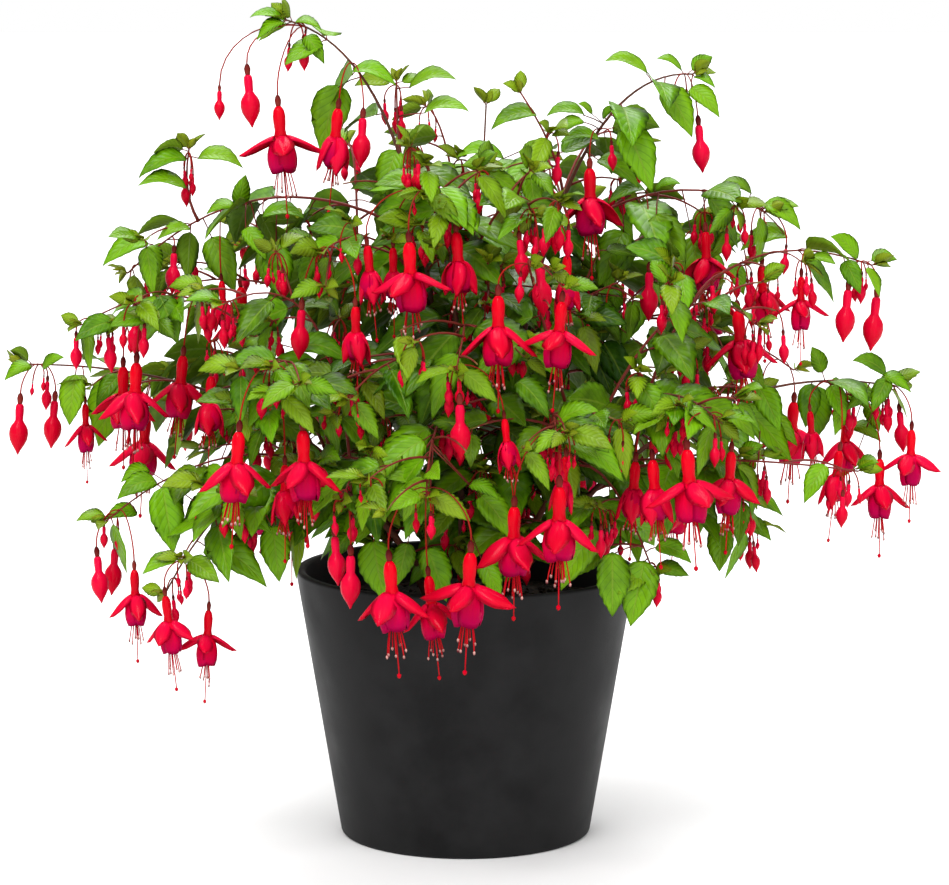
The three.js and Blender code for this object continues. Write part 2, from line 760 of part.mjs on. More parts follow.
function sepal(skin, root, { top, s, angle, droop, out }) {
  const away = vec(Math.cos(angle), -Math.sin(angle), 0);
  const across = vec(Math.sin(angle), Math.cos(angle), 0);
  const start = TUBE_END + SEPAL_ROOT / 2;
  const at = (out, drop, wide) => top.clone()
    .addScaledVector(away, out * s)
    .addScaledVector(across, wide * s)
    .add(vec(0, 0, -drop * s));
  const reach = out * SEPAL_BROADEST;
  const fall = start + reach * droop;
  const middle = skin.ring([
    at(reach + 1, fall - SEPAL_CROWN, 0),
    at(reach, fall, -SEPAL_WIDTH / 2),
    at(reach, fall, SEPAL_WIDTH / 2),
  ]);
  skin.bridge(root, middle);
  const tip = start + out * droop * SEPAL_CURL;
  skin.bridge(middle, skin.ring([at(out, tip, 0)]));
}

// A closed flower: stalk, ovary, tube and a pointed bulb
function budFlower(joint, top, size, turn) {
  const skin = new Skin();
  let last = pedicelRings(skin, joint, top);
  const grow = (drop, radius, sides) => {
    const ring = skin.ring(levelRing(top, drop * size, radius * size, sides, turn));
    skin.bridge(last, ring);
    last = ring;
  };
  grow(OVARY_DEEP * 0.45, OVARY_RADIUS * 0.9, 3);
  grow(OVARY_DEEP * 0.9, NECK_RADIUS, 4);
  grow(BUD_TUBE_END, NECK_RADIUS * 1.9, 4);
  grow(BUD_BELLY, BUD_RADIUS, 5);
  skin.bridge(last, skin.ring([top.clone().add(vec(0, 0, -BUD_TIP * size))]));
  return skin.solid();
}

// The joint slides in along one side of its stem until it all but touches the stem's skin
function seatedJoint(at, side, bareStem) {
  const joint = at.clone().addScaledVector(side, TRUNK_RADIUS + JOINT_RADIUS * 2);
  for (let i = 0; i < SEATING_STEPS; i += 1) {
    const gap = jointSolid(joint).minGap(bareStem, JOINT_LOW);
    joint.addScaledVector(side, SEAT_GAP - gap);
  }
  return joint;
}

// Where the joint goes and what hangs from it
function spraySolid(spray, stems, bareStems) {
  const stem = stems.get(spray.trunk).find((other) => other.name === spray.stem);
  const at = stem.pointAt(spray.at);
  const along = stem.alongAt(spray.at);
  const side = vec(0, 0, -JOINT_LOW);
  spray.hang.forEach(([, right, back, low]) => side.add(vec(right, back, -low)));
  side.addScaledVector(along, -side.dot(along)).normalize();
  const joint = seatedJoint(at, side, bareStems.get(spray.trunk));
  const flowers = spray.hang.map(([kind, right, back, low, size], i) => {
    const top = vec(at.x + right, at.y + back, at.z - low);
    const turn = draw(top.x, top.y, 9) * Math.PI / 2;
    if (kind in SEPAL_POSE) return openFlower(joint, top, size, turn, kind, back < 0 && i < 2);
    return budFlower(joint, top, kind === 'small' ? size * SMALL_BUD : size, turn);
  });
  return flowers.reduce((whole, flower) => whole.add(flower));
}

// The compost, with one plain hole for each rooted stem
function compostSolid(stems) {
  const wallAt = (height) => potRadiusAt(height) - POT_WALL - SEAT_GAP * 2;
  const low = POT_FLOOR + SEAT_GAP;
  const profile = [
    [0, low],
    [wallAt(low), low],
    [wallAt(COMPOST_LEVEL), COMPOST_LEVEL],
    [0, COMPOST_LEVEL],
  ].map(([r, z]) => new THREE.Vector2(r, z));
  const turned = new THREE.LatheGeometry(profile, COMPOST_SIDES);
  turned.rotateX(Math.PI / 2);
  let solid = solidFrom(turned);
  for (const [trunk] of stems.values()) {
    solid = solid.subtract(rootHole(trunk.line[0]));
  }
  return solid;
}

function rootHole(root) {
  const skin = new Skin();
  const wide = TRUNK_RADIUS + CLEAR * 1.5;
  const bottom = root.clone().setZ(COMPOST_LEVEL - ROOT_DEPTH - SEAT_GAP);
  const foot = skin.ring(ringAt(bottom, up, wide, 4));
  const mouth = skin.ring(ringAt(root.clone().setZ(COMPOST_LEVEL + ROOT_NECK), up, wide, 4));
  skin.cap(foot, false);
  skin.bridge(foot, mouth);
  skin.cap(mouth, true);
  return skin.solid();
}

// Materials, one for each part's own colour and finish
const FINISHES = {
  pot: { color: 0x2e2e30, roughness: 0.75, metalness: 0 },
  compost: { color: 0x2a1c13, roughness: 1, metalness: 0 },
  leaf: { color: 0x4f8a2e, roughness: 0.5, metalness: 0 },
  flower: { color: 0xd01a3c, roughness: 0.4, metalness: 0 },
};

const plant = new THREE.Group();

function place(name, solid, finish) {
  const material = new THREE.MeshStandardMaterial(FINISHES[finish]);
  const mesh = new THREE.Mesh(geometryFrom(solid), material);
  mesh.name = name;
  plant.add(mesh);
}

// The largest body of a solid, without loose scraps
function wholeOf(solid) {
  const bodies = solid.decompose();
  return bodies.reduce((best, body) => (body.volume() > best.volume() ? body : best));
}

const stems = new Map(TRUNKS.map((trunk) => [trunk.name, stemsOf(trunk)]));
const pot = potSolid();
const compost = compostSolid(stems);
place('pot', pot, 'pot');
place('compost', compost, 'compost');

const bareStems = new Map(TRUNKS.map(({ name }) => (
  [name, stems.get(name).map(stemSolid).reduce((whole, shoot) => whole.add(shoot))])));

const sprays = SPRAYS.map((spray) => (
  wholeOf(spraySolid(spray, stems, bareStems).simplify(TRIM))));
sprays.forEach((solid, i) => {
  place(`flower_spray_${String(i + 1).padStart(2, '0')}`, solid, 'flower');
});

// Leaves keep clear of every other node, and those that cannot are left off
function boxesApart(a, b) {
  for (let axis = 0; axis < 3; axis += 1) {
    if (a.min[axis] > b.max[axis] + CLEAR || b.min[axis] > a.max[axis] + CLEAR) return true;
  }
  return false;
}

const fixed = [pot, compost, ...sprays];
const leaves = TRUNKS.map(() => []);
const TWISTS = [0, 0.6, -0.6, 1.2, -1.2];

function isClear(solid, others) {
  const box = solid.boundingBox();
  return others.every((other) => (
    boxesApart(box, other.boundingBox()) || solid.minGap(other, CLEAR) >= CLEAR));
}

// A leaf is twisted round its stem until it is clear
function clearLeaf(stem, place, others) {
  for (const twist of TWISTS) {
    const solid = leafSolid(leafOn(stem, { ...place, turn: place.turn + twist }));
    if (isClear(solid, others)) return solid;
  }
  return null;
}

TRUNKS.forEach((trunk, index) => {
  const bare = TRUNKS.filter((other) => other !== trunk).map(({ name }) => bareStems.get(name));
  stems.get(trunk.name).forEach((stem, i) => {
    for (const place of leafPlaces(stem, index * 7 + i)) {
      const grown = leaves.flat().filter((leaf) => leaf.pair !== place.pair);
      const solid = clearLeaf(stem, place, [...fixed, ...bare, ...grown.map((leaf) => leaf.solid)]);
      if (solid) leaves[index].push({ solid, pair: place.pair });
    }
  });
});
TRUNKS.forEach((trunk, index) => {
  const solid = leaves[index]
    .reduce((whole, leaf) => whole.add(leaf.solid), bareStems.get(trunk.name));
  place(`leafy_stem_${trunk.name}`, wholeOf(solid.simplify(TRIM)), 'leaf');
});

export default plant;
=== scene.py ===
# A bush fuchsia in a plain tapered planter, dressed over the solids of its frame.
# Sizes are in metres, +Z is up and -Y is the front.

import math
from collections import namedtuple

import bpy
import numpy as np
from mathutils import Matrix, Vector, noise


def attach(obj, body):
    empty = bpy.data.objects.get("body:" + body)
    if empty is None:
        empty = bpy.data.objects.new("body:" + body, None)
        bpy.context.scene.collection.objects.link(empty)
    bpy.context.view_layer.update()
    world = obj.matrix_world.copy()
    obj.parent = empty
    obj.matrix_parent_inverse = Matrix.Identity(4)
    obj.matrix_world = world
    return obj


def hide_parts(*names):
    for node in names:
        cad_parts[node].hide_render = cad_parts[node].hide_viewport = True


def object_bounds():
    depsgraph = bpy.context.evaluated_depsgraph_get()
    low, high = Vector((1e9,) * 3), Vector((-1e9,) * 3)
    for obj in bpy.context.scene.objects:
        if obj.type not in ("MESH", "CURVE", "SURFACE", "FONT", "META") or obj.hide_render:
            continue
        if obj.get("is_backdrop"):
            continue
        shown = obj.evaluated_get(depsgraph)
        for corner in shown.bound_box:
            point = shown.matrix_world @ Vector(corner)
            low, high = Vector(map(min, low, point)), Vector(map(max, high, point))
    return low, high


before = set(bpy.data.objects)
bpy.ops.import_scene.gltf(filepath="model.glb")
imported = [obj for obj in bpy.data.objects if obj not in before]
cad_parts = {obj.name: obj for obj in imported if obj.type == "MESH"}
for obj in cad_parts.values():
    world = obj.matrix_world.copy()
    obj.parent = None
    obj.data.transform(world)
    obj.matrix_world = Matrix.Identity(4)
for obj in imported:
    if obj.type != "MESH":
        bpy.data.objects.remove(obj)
cad_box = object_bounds()


# The pot: one tapered planter, moulded in matte charcoal plastic, with a closed floor.
# A cylinder is widened to the rim, hollowed by an inset and an extrusion, and rounded at its lip
# and foot.
MM = 0.001
POT_HEIGHT = 197 * MM
POT_RIM_RADIUS = 125 * MM
POT_FOOT_RADIUS = 92 * MM
POT_WALL = 7 * MM
POT_FLOOR = 6 * MM
FLOOR_WIDER = 1 * MM
LIP_ROUND = 2.2 * MM
FOOT_ROUND = 2.5 * MM
POT_SIDES = 128
SMOOTH_BELOW = 35
MOTTLE_SCALE = 26
GRAIN_SCALE = 700
GRAIN_DEPTH = 0.12 * MM
POT_DARK = (0.0048, 0.0048, 0.0050)
POT_PALE = (0.0122, 0.0122, 0.0126)


def pick(obj, kind, wanted):
    """In edit mode, select only the faces or edges whose middle passes the test."""
    bpy.ops.object.mode_set(mode="EDIT")
    bpy.ops.mesh.select_mode(type=kind)
    bpy.ops.mesh.select_all(action="DESELECT")
    bpy.ops.object.mode_set(mode="OBJECT")
    mesh = obj.data
    for item in mesh.polygons if kind == "FACE" else mesh.edges:
        corners = [mesh.vertices[i].co for i in item.vertices]
        item.select = wanted(sum(corners, Vector()) / len(corners))
    bpy.ops.object.mode_set(mode="EDIT")


def new_material(name, roughness, specular=0.5):
    material = bpy.data.materials.new(name)
    material.use_nodes = True
    shader = material.node_tree.nodes["Principled BSDF"]
    shader.inputs["Roughness"].default_value = roughness
    shader.inputs["Specular IOR Level"].default_value = specular
    return material


def add_node(material, kind, inputs, **settings):
    """A node with its settings, and its sockets given values or linked to other nodes."""
    made = material.node_tree.nodes.new(kind)
    for name, value in settings.items():
        setattr(made, name, value)
    for socket, value in inputs.items():
        if isinstance(value, bpy.types.NodeSocket):
            material.node_tree.links.new(value, made.inputs[socket])
        else:
            made.inputs[socket].default_value = value
    return made.outputs[0]


def to_shader(material, socket, value):
    shader = material.node_tree.nodes["Principled BSDF"]
    material.node_tree.links.new(value, shader.inputs[socket])


def object_noise(material, scale, detail=4.0, stretch=(1, 1, 1)):
    place = material.node_tree.nodes.new("ShaderNodeTexCoord").outputs["Object"]
    place = add_node(material, "ShaderNodeMapping", {"Vector": place, "Scale": stretch})
    return add_node(material, "ShaderNodeTexNoise", {"Vector": place, "Scale": scale, "Detail": detail})


def blend(material, factor, first, second):
    """Two colours mixed by a factor, in the colour sockets of a mix node."""
    first, second = [value if isinstance(value, bpy.types.NodeSocket) else (*value, 1)
                     for value in (first, second)]
    mixed = add_node(material, "ShaderNodeMix", {0: factor, 6: first, 7: second}, data_type="RGBA")
    return mixed.node.outputs[2]


def maths(material, operation, first, second=0.0, third=0.0):
    return add_node(material, "ShaderNodeMath", {0: first, 1: second, 2: third}, operation=operation)


def spread(material, value, low, high, to_low=0.0, to_high=1.0):
    """A value carried from one range to another, and held inside it."""
    return add_node(material, "ShaderNodeMapRange", {
        "Value": value, "From Min": low, "From Max": high, "To Min": to_low, "To Max": to_high})


def add_bump(material, height, distance, strength=1.0):
    to_shader(material, "Normal", add_node(material, "ShaderNodeBump", {
        "Height": height, "Distance": distance, "Strength": strength}))


bpy.ops.object.select_all(action="DESELECT")
bpy.ops.mesh.primitive_cylinder_add(
    vertices=POT_SIDES, radius=POT_FOOT_RADIUS, depth=POT_HEIGHT, location=(0, 0, POT_HEIGHT / 2))
bpy.ops.object.transform_apply()
planter = bpy.context.object
planter.name = "planter"
widen = POT_RIM_RADIUS / POT_FOOT_RADIUS
pick(planter, "FACE", lambda middle: middle.z > POT_HEIGHT - MM)
bpy.ops.transform.resize(value=(widen, widen, 1), center_override=(0, 0, POT_HEIGHT))
bpy.ops.mesh.inset(thickness=POT_WALL, depth=0)
bpy.ops.mesh.extrude_region_move(TRANSFORM_OT_translate={"value": (0, 0, POT_FLOOR - POT_HEIGHT)})
narrow = (POT_FOOT_RADIUS - POT_WALL + FLOOR_WIDER) / (POT_RIM_RADIUS - POT_WALL)
bpy.ops.transform.resize(value=(narrow, narrow, 1), center_override=(0, 0, POT_FLOOR))
lip_middle = POT_RIM_RADIUS - POT_WALL / 2
pick(planter, "EDGE", lambda middle: middle.z > POT_HEIGHT - MM
     and abs(middle.xy.length - lip_middle) > POT_WALL / 4)
bpy.ops.mesh.bevel(offset=LIP_ROUND, segments=4, affect="EDGES")
pick(planter, "EDGE", lambda middle: middle.z < MM)
bpy.ops.mesh.bevel(offset=FOOT_ROUND, segments=3, affect="EDGES")
bpy.ops.object.mode_set(mode="OBJECT")
bpy.ops.object.shade_smooth_by_angle(angle=math.radians(SMOOTH_BELOW))

charcoal = new_material("matte_charcoal_plastic", 0.55, 0.12)
mottle = object_noise(charcoal, MOTTLE_SCALE, 7)
to_shader(charcoal, "Base Color", blend(charcoal, spread(charcoal, mottle, 0.35, 0.68), POT_DARK, POT_PALE))
to_shader(charcoal, "Roughness", spread(charcoal, mottle, 0.3, 0.7, 0.46, 0.64))
add_bump(charcoal, object_noise(charcoal, GRAIN_SCALE, 3), GRAIN_DEPTH, 0.5)
planter.data.materials.append(charcoal)
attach(planter, "root")
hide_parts("pot")


# The compost: dark, crumbly potting mix that fills the pot to 25 mm below its rim.
# A disc is inset ring by ring, its top is made uneven, and loose crumbs are strewn on it.
COMPOST_LEVEL = 172 * MM
COMPOST_RADIUS = 112 * MM
COMPOST_DEPTH = 60 * MM
COMPOST_RINGS = 16
COMPOST_LUMPS = 3.2 * MM
LUMP_SCALE = 55
SOIL_SIDES = 72
SOIL_TAPER = 11 * MM
GRIT_SCALE = 220
GRIT_DEPTH = 1.5 * MM
CRUMBS = 420
CRUMB_MARGIN = 5 * MM
CRUMB_SMALL = 1.2
CRUMB_SPREAD = 2.6
SOIL_BLACK = (0.008, 0.006, 0.005)
SOIL_BROWN = (0.045, 0.027, 0.017)


def draw(a, b, c):
    """A repeatable draw between 0 and 1, the same wherever it is asked for again."""
    wave = math.sin(a * 12.9898 + b * 78.233 + c * 37.719) * 43758.5453
    return wave - math.floor(wave)


bpy.ops.object.select_all(action="DESELECT")
bpy.ops.mesh.primitive_cylinder_add(
    vertices=SOIL_SIDES, radius=COMPOST_RADIUS, depth=COMPOST_DEPTH,
    location=(0, 0, COMPOST_LEVEL - COMPOST_DEPTH / 2 - COMPOST_LUMPS))
bpy.ops.object.transform_apply()
soil = bpy.context.object
soil.name = "potting_mix"
narrow = (COMPOST_RADIUS - SOIL_TAPER) / COMPOST_RADIUS
pick(soil, "FACE", lambda middle: middle.z < COMPOST_LEVEL - COMPOST_DEPTH + MM)
bpy.ops.transform.resize(value=(narrow, narrow, 1), center_override=(0, 0, 0))
pick(soil, "FACE", lambda middle: middle.z > COMPOST_LEVEL - 2 * COMPOST_LUMPS)
for ring in range(COMPOST_RINGS - 1):
    bpy.ops.mesh.inset(thickness=COMPOST_RADIUS / COMPOST_RINGS, depth=0)
bpy.ops.mesh.poke()
bpy.ops.object.mode_set(mode="OBJECT")
for vertex in soil.data.vertices:
    if vertex.co.z > COMPOST_LEVEL - 2 * COMPOST_LUMPS and vertex.co.xy.length < COMPOST_RADIUS - MM:
        vertex.co.z += COMPOST_LUMPS * noise.fractal(vertex.co * LUMP_SCALE, 0.9, 2.0, 3)
crumbs = [soil]
for i in range(CRUMBS):
    turn = draw(i, 1, 0) * 2 * math.pi
    out = math.sqrt(draw(i, 2, 0)) * (COMPOST_RADIUS - CRUMB_MARGIN)
    bpy.ops.mesh.primitive_ico_sphere_add(
        subdivisions=1, radius=(CRUMB_SMALL + CRUMB_SPREAD * draw(i, 3, 0) ** 2) * MM,
        location=(out * math.cos(turn), out * math.sin(turn), COMPOST_LEVEL - COMPOST_LUMPS),
        scale=(1, 0.6 + 0.6 * draw(i, 4, 0), 0.6), rotation=(draw(i, 5, 0), draw(i, 6, 0), turn))
    crumbs.append(bpy.context.object)
bpy.ops.object.select_all(action="DESELECT")
for crumb in crumbs:
    crumb.select_set(True)
bpy.context.view_layer.objects.active = soil
bpy.ops.object.join()
bpy.ops.object.transform_apply()

potting_mix = new_material("crumbly_compost", 0.95, 0.2)
grit = object_noise(potting_mix, GRIT_SCALE, 8)
crumb_tone = spread(potting_mix, grit, 0.4, 0.7)
to_shader(potting_mix, "Base Color", blend(potting_mix, crumb_tone, SOIL_BLACK, SOIL_BROWN))
add_bump(potting_mix, grit, GRIT_DEPTH)
soil.data.materials.append(potting_mix)
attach(soil, "root")
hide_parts("compost")


# The leafy stems: several rooted fuchsia stems, woody and brown at the foot and red at the tips,
# each with its side shoots and twigs. Each is a thin tapered tube along a curve, and the rooted
# ones stand in the compost.
ROOT_DEPTH = 45
ROOT_NECK = 5
TRUNK_RADIUS = 2.9
SHOOT_RADIUS = 1.35
TIP_RADIUS = 0.65
TRUNK_STEPS = 7
SHOOT_STEP = 45
FINE_STEPS = 40
TINY = 1e-9
STEM_BROWN = (0.075, 0.032, 0.018)
STEM_RED = (0.15, 0.020, 0.014)
STEM_GREEN = (0.16, 0.15, 0.035)
# A row is the root of a stem, a control point and its tip in mm, and then its shoots: a name, the
# stem that each grows from, how far along it, a control point and a tip.
ROOTED_STEMS = {
    "top_left": ((-16, 8), (-9, -10, 566), (-127, -25, 597), [
        ("crown_twig", "trunk", 0.53, (-50, 10, 510), (-50, 12, 552)),
        ("left_arch", "trunk", 0.42, (-150, 30, 508), (-248, 25, 412)),
        ("left_twig", "left_arch", 0.74, (-208, 25, 470), (-202, 22, 502)),
        ("left_inner", "trunk", 0.32, (-60, -60, 470), (-100, -95, 437)),
    ]),
    "top_right": ((14, 10), (53, 20, 565), (164, 0, 558), [
        ("right_arch", "trunk", 0.42, (149, 0, 500), (215, -20, 460)),
        ("crown_right", "trunk", 0.5, (70, -20, 500), (40, -30, 545)),
        ("behind_right", "trunk", 0.46, (90, 90, 540), (130, 120, 500)),
    ]),
    "right": ((30, -2), (157, -20, 364), (313, -10, 332), [
        ("right_upper", "trunk", 0.35, (153, -40, 474), (290, -50, 424)),
        ("right_lower", "trunk", 0.3, (167, -50, 292), (279, -80, 280)),
        ("right_drooping", "trunk", 0.25, (165, 20, 285), (212, 25, 222)),
    ]),
    "left": ((-30, 4), (-102, 25, 345), (-326, 20, 345), [
        ("left_upper", "trunk", 0.35, (-165, -20, 450), (-275, -35, 380)),
        ("left_lower", "trunk", 0.3, (-170, -50, 316), (-256, -70, 243)),
        ("left_behind", "trunk", 0.4, (-170, 90, 390), (-240, 110, 320)),
    ]),
    "front_left": ((-20, -16), (-124, -90, 366), (-210, -120, 200), [
        ("front_left_upper", "trunk", 0.35, (-110, -125, 385), (-132, -165, 364)),
        ("front_left_lower", "trunk", 0.22, (-60, -130, 335), (-84, -172, 274)),
        ("front_left_high", "trunk", 0.3, (-90, -60, 440), (-170, -90, 400)),
    ]),
    "front_right": ((24, -18), (110, -100, 390), (174, -155, 326), [
        ("over_the_rim", "trunk", 0.3, (100, -80, 300), (132, -112, 214)),
        ("front_right_high", "trunk", 0.35, (36, -115, 455), (45, -150, 432)),
        ("front_right_low", "trunk", 0.22, (60, -130, 360), (62, -188, 318)),
        ("right_inner", "trunk", 0.4, (150, -70, 440), (205, -85, 385)),
    ]),
    "front": ((-2, -26), (-5, -40, 530), (-28, -110, 478), [
        ("front_high", "trunk", 0.42, (35, -70, 505), (47, -108, 464)),
        ("front_middle", "trunk", 0.34, (5, -130, 410), (-6, -168, 362)),
        ("front_low", "trunk", 0.24, (-25, -160, 335), (-26, -200, 280)),
        ("front_left_mid", "trunk", 0.3, (-50, -110, 380), (-80, -150, 340)),
    ]),
    "back_left": ((-18, 26), (-70, 80, 480), (-170, 150, 420), [
        ("back_left_low", "trunk", 0.3, (-110, 150, 340), (-150, 200, 250)),
        ("back_left_side", "trunk", 0.4, (-150, 90, 420), (-230, 130, 390)),
        ("back_left_top", "trunk", 0.5, (-80, 100, 500), (-90, 140, 500)),
    ]),
    "back_right": ((20, 28), (80, 90, 480), (190, 150, 430), [
        ("back_right_low", "trunk", 0.3, (120, 150, 350), (160, 200, 260)),
        ("back_right_side", "trunk", 0.38, (160, 80, 400), (250, 110, 330)),
        ("back_right_top", "trunk", 0.5, (60, 110, 510), (60, 150, 490)),
    ]),
    "back": ((0, 36), (0, 110, 470), (8, 220, 400), [
        ("back_low_left", "trunk", 0.28, (-40, 170, 340), (-60, 225, 260)),
        ("back_low_right", "trunk", 0.33, (60, 170, 360), (85, 230, 290)),
        ("back_top", "trunk", 0.5, (-10, 110, 520), (-30, 120, 530)),
    ]),
    "heart": ((3, 6), (8, 0, 400), (15, 15, 535), [
        ("heart_left", "trunk", 0.45, (-40, 20, 400), (-90, 40, 400)),
        ("heart_front", "trunk", 0.5, (20, -40, 420), (15, -90, 400)),
        ("heart_right", "trunk", 0.4, (70, 10, 390), (110, -30, 410)),
        ("heart_back", "trunk", 0.55, (0, 60, 420), (-20, 100, 440)),
    ]),
}

Form = namedtuple("Form", "spots corners sizes under")


def unit(vector):
    return vector / np.linalg.norm(vector, axis=-1, keepdims=True)


def make_form(spots, loops, under):
    corners = np.array([corner for loop in loops for corner in loop])
    return Form(np.array(spots, float), corners, np.array([len(loop) for loop in loops]), np.array(under))


def tube_form(steps, sides):
    """A closed tube: each spot is its share of the length, its angle, and 0 at a pole or 1."""
    spots = [(i / steps, j / sides * 2 * math.pi, 1) for i in range(steps + 1) for j in range(sides)]
    foot, tip = len(spots), len(spots) + 1
    spots += [(0, 0, 0), (1, 0, 0)]
    loops = []
    for j in range(sides):
        k = (j + 1) % sides
        loops.append((foot, k, j))
        loops.append((tip, steps * sides + j, steps * sides + k))
        for i in range(steps):
            loops.append((i * sides + j, i * sides + k, (i + 1) * sides + k, (i + 1) * sides + j))
    return make_form(spots, loops, [False] * len(loops))


def sheet_form(rows, cols, pointed_start, pointed_end):
    """A thin closed sheet: each spot is its share of the length, -1 to 1 across, and its side."""
    spots, found, loops, under = [], {}, [], []

    def corner(i, j, side):
        rim = i in (0, rows) or j in (0, cols)
        point = (i == 0 and pointed_start) or (i == rows and pointed_end)
        key = (i, cols / 2 if point else j, 0 if rim else side)
        if key not in found:
            found[key] = len(spots)
            spots.append((i / rows, 2 * key[1] / cols - 1, key[2]))
        return found[key]

    for side in (1, -1):
        for i in range(rows):
            for j in range(cols):
                loop = [corner(i, j, side), corner(i, j + 1, side),
                        corner(i + 1, j + 1, side), corner(i + 1, j, side)]
                loop = [spot for n, spot in enumerate(loop) if spot != loop[n - 1]]
                loops.append(loop[::side])
                under.append(side < 0)
    return make_form(spots, loops, under)


def curve_point(curve, t):
    """The place at a share of the way along a curve of three points."""
    start, bend, end = curve
    return (1 - t) ** 2 * start + 2 * t * (1 - t) * bend + t ** 2 * end


def curve_points(curve, steps):
    return curve_point(curve, np.linspace(0, 1, steps + 1)[:, None])


def lay_tube(form, path, radii, ridge=0.0):
    """The places of a tube along a path, with a radius at each of the path's points."""
    along = unit(np.gradient(path, axis=0))
    side = np.cross(along[0], (0, 1, 0) if abs(along[0][1]) < 0.9 else (1, 0, 0))
    sides = []
    for direction in along:
        side = unit(side - direction * side.dot(direction))
        sides.append(side)
    sides = np.array(sides)
    others = np.cross(along, sides)
    share, angle, ring = form.spots.T
    step = np.rint(share * (len(path) - 1)).astype(int)
    wide = (radii[step] * ring * (1 + ridge * np.cos(4 * angle)))[:, None]
    return path[step] + wide * (np.cos(angle)[:, None] * sides[step] + np.sin(angle)[:, None] * others[step])


def lay_sheet(form, curve, across, wide, cup, thick, wave=0.0):
    """The places of a sheet on a curve of three points, bent up or down towards its edges."""
    share, v, side = form.spots.T
    start, bend, end = curve
    s = share[:, None]
    along = unit((1 - s) * (bend - start) + s * (end - bend) + TINY)
    normal = unit(np.cross(across, along))
    high = cup * v ** 2 + side * thick / 2 + wave * np.abs(v)
    return curve_point(curve, s) + (v * wide)[:, None] * across + high[:, None] * normal


class Growth:
    """Gathers many forms into one piece, with a finish for each face and a tone for each point."""

    def __init__(self):
        self.count = 0
        self.places, self.corners, self.sizes = [], [], []
        self.finishes, self.maps, self.tones = [], [], []

    def add(self, places, form, finish, tone, under=None):
        self.places.append(places)
        self.corners.append(form.corners + self.count)
        self.sizes.append(form.sizes)
        self.finishes.append(np.where(form.under, finish if under is None else under, finish))
        if form.spots[:, 1].max() > 1:
            v = np.abs(form.spots[:, 1] / math.pi - 1)
        else:
            v = (form.spots[:, 1] + 1) / 2
        self.maps.append(np.stack([form.spots[:, 0], v], axis=1))
        self.tones.append(np.broadcast_to((*tone, 1.0), (len(places), 4)))
        self.count += len(places)

    def make(self, name, materials):
        corners = np.concatenate(self.corners).astype(np.int32)
        sizes = np.concatenate(self.sizes).astype(np.int32)
        mesh = bpy.data.meshes.new(name)
        mesh.vertices.add(self.count)
        mesh.vertices.foreach_set("co", np.concatenate(self.places).astype(np.float32).ravel())
        mesh.loops.add(len(corners))
        mesh.loops.foreach_set("vertex_index", corners)
        mesh.polygons.add(len(sizes))
        mesh.polygons.foreach_set("loop_start", (np.cumsum(sizes) - sizes).astype(np.int32))
        mesh.polygons.foreach_set("material_index", np.concatenate(self.finishes).astype(np.int32))
        mesh.update(calc_edges=True)
        layer = mesh.uv_layers.new(name="form")
        layer.uv.foreach_set("vector", np.concatenate(self.maps)[corners].astype(np.float32).ravel())
        tones = mesh.attributes.new("tone", "FLOAT_COLOR", "POINT")
        tones.data.foreach_set("color", np.concatenate(self.tones).astype(np.float32).ravel())
        mesh.shade_smooth()
        for material in materials:
            mesh.materials.append(material)
        piece = bpy.data.objects.new(name, mesh)
        bpy.context.scene.collection.objects.link(piece)
        return piece


def form_map(material):
    """How far along its form a point lies, and how far across it."""
    place = add_node(material, "ShaderNodeUVMap", {}, uv_map="form")
    parts = add_node(material, "ShaderNodeSeparateXYZ", {0: place}).node.outputs
    return parts[0], parts[1]


def tone_part(material, index):
    """One of the tones that each point of a piece carries."""
    tone = add_node(material, "ShaderNodeAttribute", {}, attribute_name="tone")
    return add_node(material, "ShaderNodeSeparateColor", {0: tone}).node.outputs[index]


class Stem:
    """A stem on a curve of three points, which thins from its foot to its tip."""

    def __init__(self, name, start, bend, end, radius, steps):
        self.name = name
        self.curve = tuple(np.array(point, float) for point in (start, bend, end))
        self.radius = radius
        self.knots = curve_points(self.curve, steps)
        line = curve_points(self.curve, FINE_STEPS)
        self.length = np.linalg.norm(np.diff(line, axis=0), axis=1).sum()

    def point(self, t):
        return curve_point(self.curve, t)

    def along(self, t):
        start, bend, end = self.curve
        return unit((1 - t) * (bend - start) + t * (end - bend))

    def knot_point(self, t):
        """The place on the plainer stem of the solids, which bends in straight pieces."""
        step = min(len(self.knots) - 2, int(t * (len(self.knots) - 1)))
        share = t * (len(self.knots) - 1) - step
        return self.knots[step] * (1 - share) + self.knots[step + 1] * share

    def radius_at(self, t):
        return TIP_RADIUS * MM + (self.radius - TIP_RADIUS * MM) * (1 - t) ** 1.5


def grow_stems(row):
    (x, y), bend, tip, shoots = row
    root = np.array([x * MM, y * MM, COMPOST_LEVEL + ROOT_NECK * MM])
    grown = {"trunk": Stem("trunk", root, np.array(bend) * MM, np.array(tip) * MM,
                           TRUNK_RADIUS * MM, TRUNK_STEPS)}
    for name, parent, at, bend, tip in shoots:
        tip = np.array(tip) * MM
        start = grown[parent].knot_point(at)
        steps = max(3, round(np.linalg.norm(tip - start) / (SHOOT_STEP * MM)))
        grown[name] = Stem(name, start, np.array(bend) * MM, tip, SHOOT_RADIUS * MM, steps)
    return grown


stems = {name: grow_stems(row) for name, row in ROOTED_STEMS.items()}


